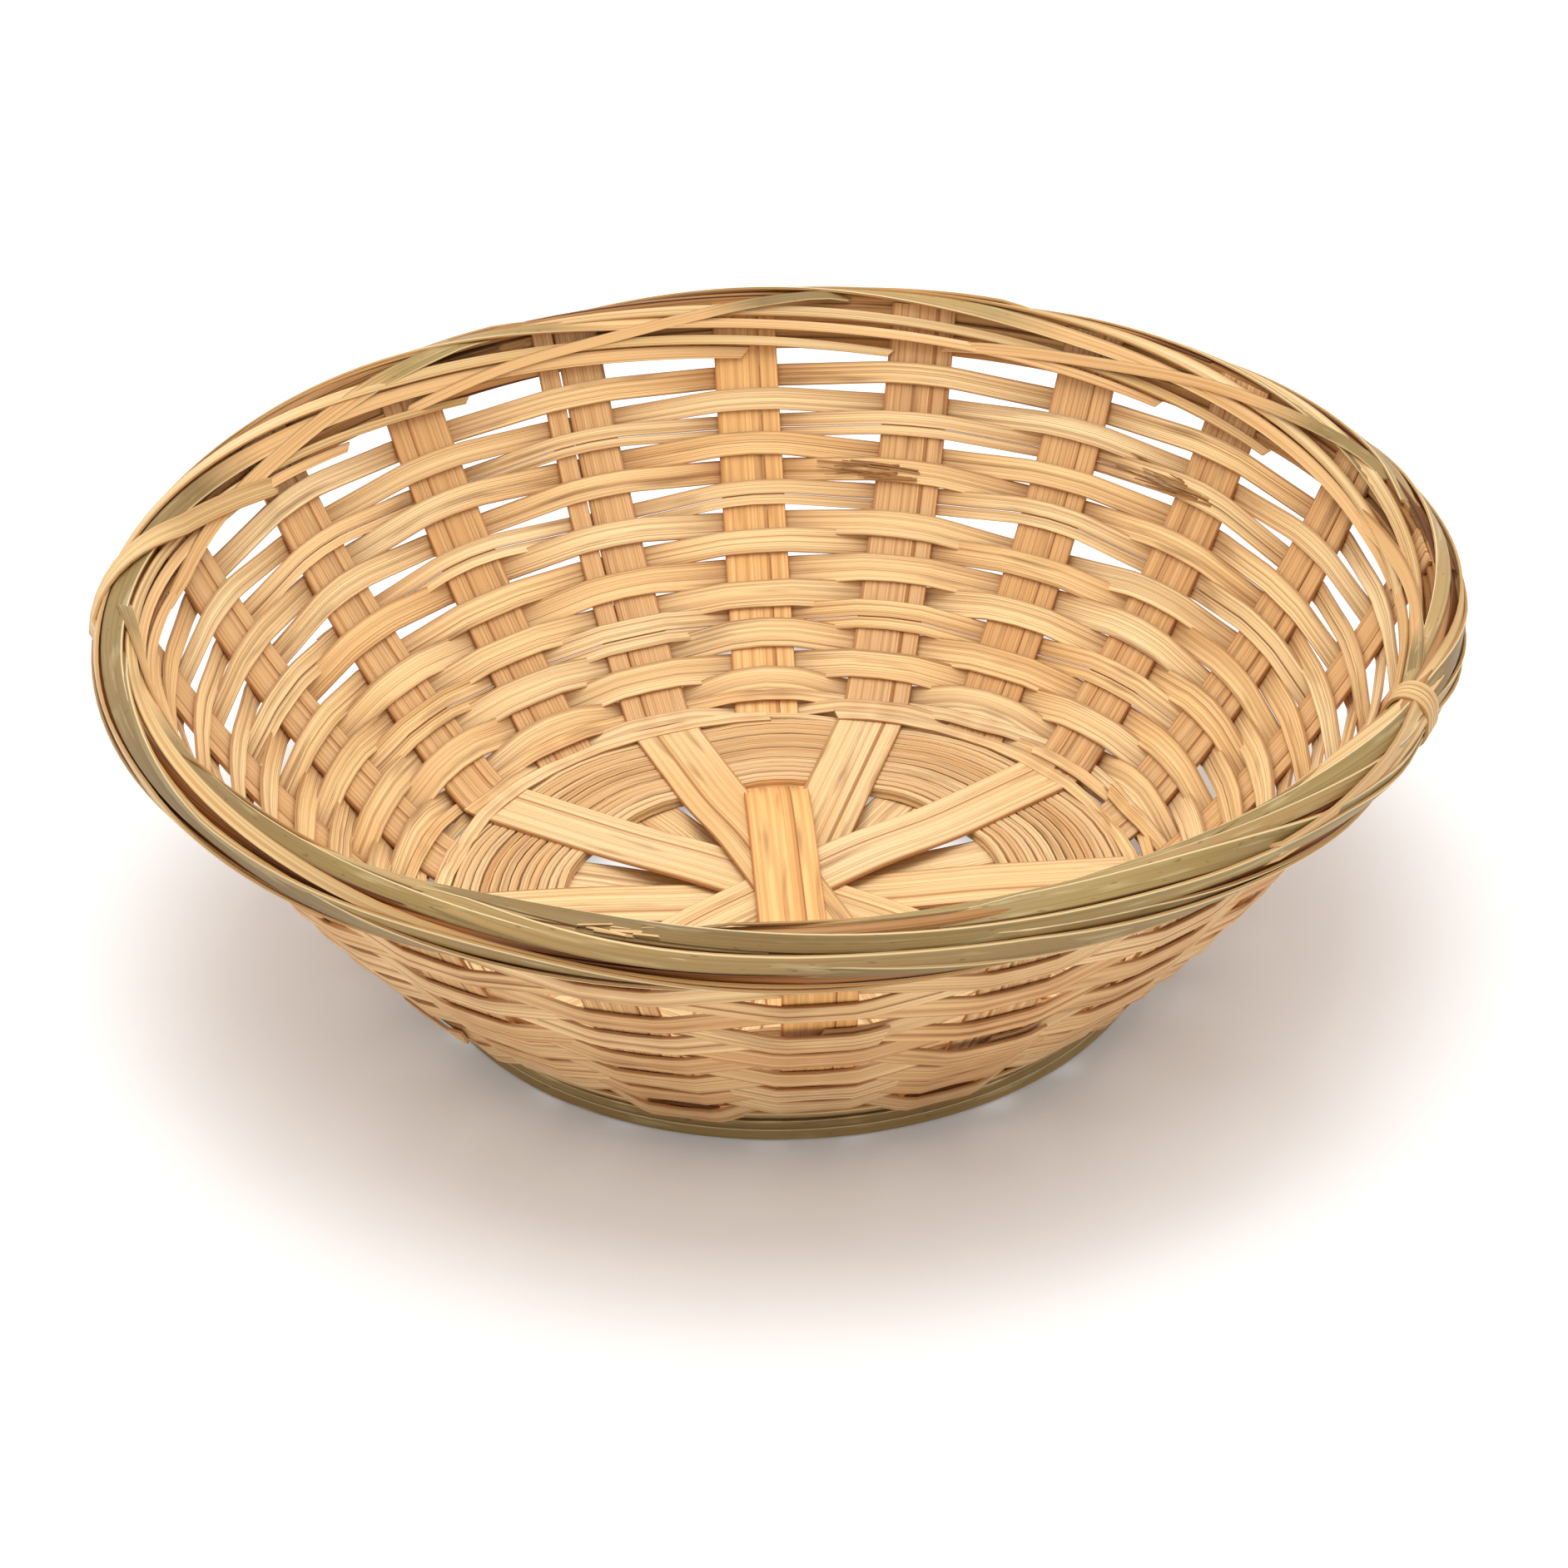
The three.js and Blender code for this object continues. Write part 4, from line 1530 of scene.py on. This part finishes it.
    def build_core(self) -> None:
        """Builds the hoop as a bundle of splints that fills the border outside the stakes."""
        form, rim = self.form, self.wall.rim
        piece = Piece("border_core", "rim_hoop")
        outer = self.outline.crown.x + form.crown_radius - form.band_thickness / 2 - form.lay_gap
        top = self.outline.crown.y + self.core_top * form.crown_radius
        least, most = self.core_range
        count = round((2 * math.pi + self.core_lap) / self.core_step)
        for number in range(self.core_splints):
            rng = random.Random(f"core {number}")
            depth = (number - self.core_rise) * self.core_pitch
            inner = rim.point - rim.up * depth + rim.out * (form.spoke_thickness / 2 + form.lay_gap)
            room = outer - inner.x - max(0.0, inner.y - top) * self.core_taper
            path = Path(self.core_pitch * self.core_width, min(max(room, least), most))
            phases = [rng.uniform(0, 2 * math.pi) for _ in self.core_waves]
            for i in range(count + 1):
                heading = self.core_step * i + self.core_shift * number
                height = inner.y
                for (waves, share), phase in zip(self.core_waves, phases):
                    height += self.core_drift * share * math.sin(waves * heading + phase)
                point = along(heading, inner.x + path.thickness / 2, 0, height)
                path.add(point, Vector((0, 0, 1)))
            piece.lay(Lath(path.stations(), Grain.CORE + number, cuts=1, edge=self.core_edge))
        self.core.append(piece)

    def build_band(self, band: int) -> None:
        """Builds one band: a thin under strip, the wide strips over it and a narrow one inside.

        Args:
            band: The band's number round the rim.
        """
        piece = Piece(f"border_band_{band + 1}", f"rim_band_{band + 1}")
        pitch = 2 * math.pi / self.form.bands
        first = self.form.heading(0) + pitch * band
        self.lay_under(piece, band, first)
        for strip in range(self.strips):
            self.lay_wide(piece, band, strip, first + pitch * strip / self.strips)
        self.lay_sliver(piece, band, first)
        if band == 0:
            self.lay_strays(piece)
        self.bands.append(piece)

    def lay_under(self, piece: Piece, band: int, first: float) -> None:
        """Lays a band's browned strip, which shows between the wide ones.

        Args:
            piece: The piece that it belongs to.
            band: The band's number round the rim.
            first: Heading of the band's start.
        """
        under = Winding(
            label=f"under {band}",
            first=first + self.under_shift,
            run=self.under_run,
            start=self.outline.inside + self.under_start * self.outline.crown_length,
            end=self.outline.length,
            width=self.form.band_width,
            thickness=self.under_thickness,
            lift=self.under_lift,
        )
        piece.lay(Lath(self.wind(under).stations(), Grain.UNDER + band, cuts=2, **BROWNED))

    def lay_wide(self, piece: Piece, band: int, strip: int, first: float) -> None:
        """Lays one of a band's wide strips.

        Args:
            piece: The piece that it belongs to.
            band: The band's number round the rim.
            strip: The strip's number in the band.
            first: Heading where it starts, if it starts at the inside bottom.
        """
        outline, vary = self.outline, self.vary
        rng = random.Random(f"band {band} {strip}")
        start = 0.0
        if strip == self.crown_strip:
            start = outline.inside + outline.crown_length * rng.uniform(*vary.start)
        left = 1 - start / outline.length
        wide = Winding(
            label=f"wind {band} {strip}",
            first=first + self.run * (1 - left),
            run=self.run * left * rng.uniform(*vary.run),
            start=start,
            end=outline.length,
            width=self.strip_width * rng.uniform(*vary.width),
            thickness=self.strip_thickness,
            lift=self.strip_lift + rng.uniform(*vary.lift),
            tilt=self.tilt * rng.uniform(*vary.tilt),
            inner_share=self.inner_share,
            sway=self.sway * rng.uniform(*vary.sway),
        )
        top = wide.first + wide.run * (outline.inside + outline.crown_length / 2) / outline.length
        front = math.cos(top - self.front) > math.cos(self.front_half)
        show = Face.BACK if strip == self.back_strip and not front else Face.SHOW
        number = Grain.BAND + self.strips * band + strip
        stations = self.wind(wide).stations()
        piece.lay(Lath(stations, number, cuts=3, crown=self.strip_crown, skew=self.skew, show=show))

    def lay_sliver(self, piece: Piece, band: int, first: float) -> None:
        """Lays a band's narrow strip, which runs down the inside across the wide ones.

        Args:
            piece: The piece that it belongs to.
            band: The band's number round the rim.
            first: Heading of the band's start.
        """
        rng = random.Random(f"sliver {band}")
        vary = self.slivers
        thin = Winding(
            label=f"sliver {band} 0",
            first=first + rng.uniform(*vary.first),
            run=rng.uniform(*vary.run),
            start=rng.uniform(*vary.start),
            end=rng.uniform(*vary.end),
            width=rng.uniform(*vary.width),
            thickness=vary.thickness,
            lift=rng.uniform(*vary.lift),
            sway=vary.sway,
        )
        piece.lay(Lath(self.wind(thin).stations(), Grain.SLIVER + 2 * band, cuts=2, skew=self.skew))

    def lay_strays(self, piece: Piece) -> None:
        """Lays a strip that crosses the border steeply, and the shavings left on its front.

        Args:
            piece: The piece that they belong to.
        """
        stations = self.wind(self.stray).stations()
        piece.lay(Lath(stations, Grain.STRAY, cuts=2, skew=self.skew, show=Face.BACK))
        rng = random.Random("shavings")
        vary = self.shavings
        top = self.outline.inside + self.shaving_place * self.outline.crown_length
        for shaving in range(self.shaving_count):
            start = top + rng.uniform(*vary.start)
            curl = Winding(
                label=f"shaving {shaving}",
                first=rng.uniform(*vary.first),
                run=rng.uniform(*vary.run),
                start=start,
                end=start + rng.uniform(*vary.end),
                width=rng.uniform(*vary.width),
                thickness=vary.thickness,
                lift=rng.uniform(*vary.lift),
                tilt=rng.uniform(*vary.tilt),
            )
            stations = self.wind(curl).stations()
            number = Grain.SHAVING + shaving
            piece.lay(Lath(stations, number, cuts=1, edge=self.shaving_edge, show=Face.BACK))

    def build_tie(self) -> None:
        """Builds the tie: a strip lapped round the whole border in the gap between two stakes."""
        form, outline = self.form, self.outline
        piece = Piece("border_tie", "rim_tie")
        heading = form.heading(form.tie_gap + 0.5)
        across = along(heading, 0, -1, 0)
        passage = self.wall.at(self.wall.weave_end + form.tie_passage / 2)
        line = [passage.point - passage.out * form.row_offset]
        for i in range(self.tie_points + 1):
            place = outline.at(outline.length * i / self.tie_points)
            line.append(place.point + place.out * self.tie_clear)
        line.append(passage.point + passage.out * form.row_offset)
        line.append(passage.point - passage.out * 2 * form.row_offset)
        pitch = form.tie_width / self.tie_ribs
        for rib in range(self.tie_ribs):
            path = Path(pitch - self.rib_gap, form.tie_thickness)
            left = (rib - (self.tie_ribs - 1) / 2) * pitch
            for point in line:
                path.add(along(heading, point.x, left, point.y), across)
            piece.lay(Lath(path.stations(), Grain.TIE + rib, cuts=1, crown=self.rib_crown))
        top = outline.inside + self.tail_place * outline.crown_length
        tail = Winding(
            label="tail",
            first=heading + self.tail_past - self.tail_run,
            run=self.tail_run,
            start=top + self.tail_fall,
            end=top,
            width=self.tail_width,
            thickness=self.tail_thickness,
            lift=self.tail_lift,
            tilt=self.tilt,
        )
        piece.lay(Lath(self.wind(tail).stations(), Grain.TAIL, cuts=3, crown=self.rib_crown))
        self.tie.append(piece)

    def dress(
        self,
        core: Material,
        skin: Material,
        pith: Material,
        under: Material,
        tie: Material,
    ) -> None:
        """Gives the border its finishes.

        Args:
            core: Finish of the core's splints.
            skin: Finish of the strips' outside.
            pith: Finish of their backs and cut edges.
            under: Finish of the browned strips under them.
            tie: Finish of the tie.
        """
        for piece in self.core:
            piece.dress(Slot.WEAVER, core, core)
        for piece in self.bands:
            piece.dress(Slot.SKIN, skin, pith, under)
        for piece in self.tie:
            piece.dress(Slot.SKIN, tie, tie)


@dataclass
class Foot:
    """The foot: an upright hoop under the base's edge, and two skin-on bands round it."""

    form: Form
    wall: Wall
    lap: float = math.radians(24)
    layer: float = 0.7  # a strip's thickness as a share of its solid's, so that its lap finds room
    points: int = 130
    start_step: float = math.radians(50)  # from one strip's start to the next's
    parts: tuple[tuple[float, float], ...] = ((0.54, -0.23), (0.42, 0.29))  # a strip's widths and middles
    crown: float = 0.1 * MM
    pieces: list[Piece] = field(default_factory=list)

    def ring(self, name: str, node: str, place: Slope, width: float, thickness: float, number: int) -> None:
        """Builds a strip once round, its end lapped on its start.

        Args:
            name: The piece's name.
            node: The solid that it stands for.
            place: The middle of the strip's section and how it lies.
            width: The strip's width.
            thickness: The strip's thickness.
            number: The strip's number in the grain.
        """
        piece = Piece(name, node)
        first = self.start_step * number
        path = Path(width, thickness * self.layer)
        for i in range(self.points + 1):
            turn = (2 * math.pi + self.lap) * i / self.points
            lift = path.thickness / 2 * (turn - math.pi) / math.pi
            point = place.point + place.out * lift
            heading = first + turn
            path.add(
                along(heading, point.x, 0, point.y),
                along(heading, place.up.x, 0, place.up.y),
                course=1.0,
            )
        for part, (share, middle) in enumerate(self.parts):
            split = lengthwise(path.stations(), share, middle)
            piece.lay(Lath(split, Grain.FOOT + 4 * number + part, cuts=2, crown=self.crown))
        self.pieces.append(piece)

    def build(self) -> None:
        """Builds the hoop and its two bands."""
        form, wall = self.form, self.wall
        up, out = Vector((0, 1)), Vector((1, 0))
        radius = form.base_diameter / 2 - wall.weave_start / 2 - form.foot_thickness / 2
        hoop = Slope(Vector((radius, form.foot_height / 2)), up, out)
        self.ring("foot_ring", "foot_hoop", hoop, form.foot_height, form.foot_thickness, 0)
        band_radius = radius + form.foot_thickness / 2 + form.lay_gap + form.band_thickness / 2
        lower = Slope(Vector((band_radius, form.lay_gap + form.foot_band / 2)), up, out)
        self.ring("foot_strip_lower", "foot_band_lower", lower, form.foot_band, form.band_thickness, 1)
        turn = wall.at(wall.weave_start / 2)
        upper = Slope(turn.point + turn.out * form.band_inside, turn.up, turn.out)
        self.ring("foot_strip_upper", "foot_band_upper", upper, form.foot_band, form.band_thickness, 2)

    def dress(self, skin: Material, pith: Material) -> None:
        """Gives the foot its finishes."""
        for piece in self.pieces:
            piece.dress(Slot.SKIN, skin, pith)


@dataclass
class Studio:
    """The white floor, the soft light and the camera."""

    elevation: float = math.radians(31)
    roll: float = math.radians(1.9)
    distance: float = 0.72
    frame_width: float = 0.239
    target: tuple[float, float, float] = (0.0, 0.0, 0.027)
    sensor: float = 36.0
    floor_size: float = 3.0
    floor_colour: str = "#f4f4f4"
    glow_reach: Range = (0.25, 1.2)  # distances over which the floor brightens to the camera
    glow: Range = (0.05, 0.35)
    painted_light_reach: Range = (0.035, 0.047)  # distances over which the painted light under the base ends
    painted_light_under_base: float = 0.85  # painted light on the floor under the base, so that the gaps between the spokes show pale instead of shaded
    fill: float = 0.86
    key_energy: float = 10.5
    key_size: float = 0.9
    key_place: tuple[float, float, float] = (-0.02, -0.08, 1.2)

    def build(self) -> None:
        """Sets up the floor, the light, the world and the camera."""
        self.build_floor()
        self.build_world()
        self.build_key()
        self.build_camera()
        bpy.context.scene.view_settings.view_transform = "Standard"

    def seen(self, tree: NodeTree) -> NodeSocket:
        """Tells rays that show the background from rays that light the basket.

        Args:
            tree: The node tree that asks.

        Returns:
            1 for what the camera sees, also in a mirror or through glass, and 0 for light.
        """
        light = add(tree, "ShaderNodeLightPath").outputs
        mirror = {0: light["Is Glossy Ray"], 1: light["Is Transmission Ray"]}
        through = add(tree, "ShaderNodeMath", mirror, operation="MAXIMUM").outputs[0]
        straight = {0: light["Is Camera Ray"], 1: through}
        return add(tree, "ShaderNodeMath", straight, operation="MAXIMUM").outputs[0]

    def build_floor(self) -> None:
        """Lays the floor: matt white paper, a touch brighter to the camera so that it reads white, with
        painted light under the base that takes away the basket's shade there.
        """
        sheet = bmesh.new()
        bmesh.ops.create_grid(sheet, x_segments=1, y_segments=1, size=self.floor_size)
        mesh = bpy.data.meshes.new("floor")
        sheet.to_mesh(mesh)
        sheet.free()
        floor = bpy.data.objects.new("floor", mesh)
        bpy.context.scene.collection.objects.link(floor)
        paper = bpy.data.materials.new("matt_white_paper")
        paper.use_nodes = True
        tree = paper.node_tree
        tree.nodes.clear()
        seen = self.seen(tree)
        place = add(tree, "ShaderNodeTexCoord").outputs["Object"]
        away = add(tree, "ShaderNodeVectorMath", {0: place}, operation="LENGTH").outputs["Value"]
        open_floor = add(tree, "ShaderNodeMapRange", limits(away, self.glow_reach, self.glow)).outputs[0]
        # painted light under the base, seen by the camera only
        painted_under_base = add(tree, "ShaderNodeMapRange", limits(away, self.painted_light_reach, (self.painted_light_under_base, 0.0)))
        level = add(tree, "ShaderNodeMath", {0: open_floor, 1: painted_under_base.outputs[0]}, operation="ADD")
        boost = add(tree, "ShaderNodeMath", {0: seen, 1: level.outputs[0]}, operation="MULTIPLY")
        glow = add(tree, "ShaderNodeEmission", {"Strength": boost.outputs[0]})
        matt = add(tree, "ShaderNodeBsdfDiffuse", {"Color": linear(self.floor_colour)})
        both = add(tree, "ShaderNodeAddShader", {0: matt.outputs[0], 1: glow.outputs[0]})
        add(tree, "ShaderNodeOutputMaterial", {"Surface": both.outputs[0]})
        mesh.materials.append(paper)

    def build_world(self) -> None:
        """Sets an even white surround: full white to the eye, softer as light."""
        world = bpy.data.worlds.new("studio")
        world.use_nodes = True
        tree = world.node_tree
        tree.nodes.clear()
        level = add(tree, "ShaderNodeMapRange", limits(self.seen(tree), UP, (self.fill, 1.0)))
        white = add(tree, "ShaderNodeBackground", {"Color": (1, 1, 1, 1), "Strength": level.outputs[0]})
        add(tree, "ShaderNodeOutputWorld", {"Surface": white.outputs[0]})
        bpy.context.scene.world = world

    def build_key(self) -> None:
        """Hangs one large soft lamp almost straight above."""
        lamp = bpy.data.lights.new("key", "AREA")
        lamp.energy = self.key_energy
        lamp.size = self.key_size
        key = bpy.data.objects.new("key", lamp)
        key.location = self.key_place
        aim = Vector(self.target) - Vector(self.key_place)
        key.rotation_euler = aim.to_track_quat("-Z", "Y").to_euler()
        bpy.context.scene.collection.objects.link(key)

    def build_camera(self) -> None:
        """Sets the camera at the photograph's viewing angle, with a long lens."""
        lens = bpy.data.cameras.new("camera")
        lens.sensor_width = self.sensor
        lens.lens = self.sensor * self.distance / self.frame_width
        camera = bpy.data.objects.new("camera", lens)
        back = Vector((0, -math.cos(self.elevation), math.sin(self.elevation)))
        camera.location = Vector(self.target) + back * self.distance
        level = (-back).to_track_quat("-Z", "Y")
        camera.rotation_euler = (level @ Quaternion((0, 0, 1), -self.roll)).to_euler()
        bpy.context.scene.collection.objects.link(camera)
        bpy.context.scene.camera = camera


# inner faces of the weavers: split and planed, so pale honey with fine lines, brown near the stakes from
# dust and painted shade
HONEY = SplitBamboo(
    "split_bamboo_honey",
    light="#ffe4b0",
    deep="#fad194",
    vein="#8c5219",
    # browning near the stakes: dust, and painted shade where a stake hides the strip
    aged="#a05c20",
    aged_and_shade_share=1.0,
    vein_share=0.3,
    streak_share=0.26,
    vein_width=0.6 * MM,
    fibre_width=0.26 * MM,
    fibre_share=0.3,
    relief=0.07 * MM,
)
# their outer faces: planed too and open to the light, so a deeper tan with less dust and less painted shade
# near the stakes
OUTSIDE = replace(HONEY, name="split_bamboo_outside", light="#f3cf98", deep="#e3b279", aged_and_shade_share=0.4)
# the spokes: split wide and scraped, so pale straw with close fine lines, browned up the wall
STAKE = SplitBamboo(
    "split_bamboo_stake",
    light="#f5d7a4",
    deep="#ecc48a",
    vein="#a1622a",
    aged="#d69a5e",
    aged_and_shade_share=0.5,
    vein_share=0.3,
    aged_and_shade_vein=0.45,
    vein_width=0.45 * MM,
    fibre_width=0.26 * MM,
    fibre_share=0.45,
)
# the lock strip on the star: split and left rough, so warmer, with broad dark lines
LOCK = SplitBamboo(
    "split_bamboo_lock", "#f6c583", "#eab06a", "#a5642a", vein_share=0.75, vein_width=1.0 * MM
)
# the base ring: split fine and set on edge, so as pale as the weavers, with thin lines and soft edges
RING = SplitBamboo("split_bamboo_ring", "#fee3b0", "#f0ca92", "#a06632", vein_width=0.5 * MM, cut_edge_and_shading_share=0.3)
# backs and cut edges of the skin-on strips: split from the pith's side, so plain and pale
PITH = SplitBamboo("split_bamboo_pith", "#e6c895", "#d2ae74", "#a8763c", stain_share=0.2)
# the border's core: split roughly and covered up, so a dull brown
CORE = SplitBamboo("split_bamboo_core", "#dfb278", "#c48e54", "#8a5828")
# torn fibres: broken open by use, so dark and dusty
BROKEN = SplitBamboo("split_bamboo_broken", "#bd8a50", "#95602f", "#5a3312")
# strips under the border's wide ones: split thin and browned, so red-brown and a little smoother
RUSSET = SplitBamboo("split_bamboo_russet", "#a9692f", "#7f4719", "#4a220a", aged="#8f4f1c", roughness=0.45)
# the tie: split thin enough to bend, so pale with faint lines
TIE = SplitBamboo("split_bamboo_tie", "#e8c690", "#d6ae76", "#a1713c", vein_share=0.35)
# the border's strips: split with the skin left on, so smooth olive with a faint gloss
SKIN = SkinBamboo("skin_bamboo_olive", "#a2874f", "#7f6335")
# the foot's strips: the same skin, a little paler from wear
FOOT = SkinBamboo("skin_bamboo_foot", "#aa8d56", "#7e6033")


def main() -> None:
    """Builds the basket's pieces in order, then the studio."""
    logging.basicConfig(level=logging.INFO, format="%(message)s")
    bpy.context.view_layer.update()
    form = Form()
    wall = Wall(form)
    finishes = (HONEY, OUTSIDE, STAKE, LOCK, RING, PITH, CORE, BROKEN, RUSSET, TIE, SKIN, FOOT)
    honey, outside, stake, lock, ring, pith, core, broken, russet, tie, skin, foot_skin = (
        f.material() for f in finishes
    )

    star = SpokeStar(form, wall)
    star.build()
    star.dress(stake, lock)
    base = BaseRing(form, wall)
    base.build()
    base.dress(ring)
    weave = SideWeave(form, wall)
    weave.build()
    weave.dress(outside, honey, broken)
    border = Border(form, wall, Outline(form, wall))
    border.build()
    border.dress(core, skin, pith, russet, tie)
    foot = Foot(form, wall)
    foot.build()
    foot.dress(foot_skin, pith)
    Studio().build()


if __name__ == "__main__":
    main()
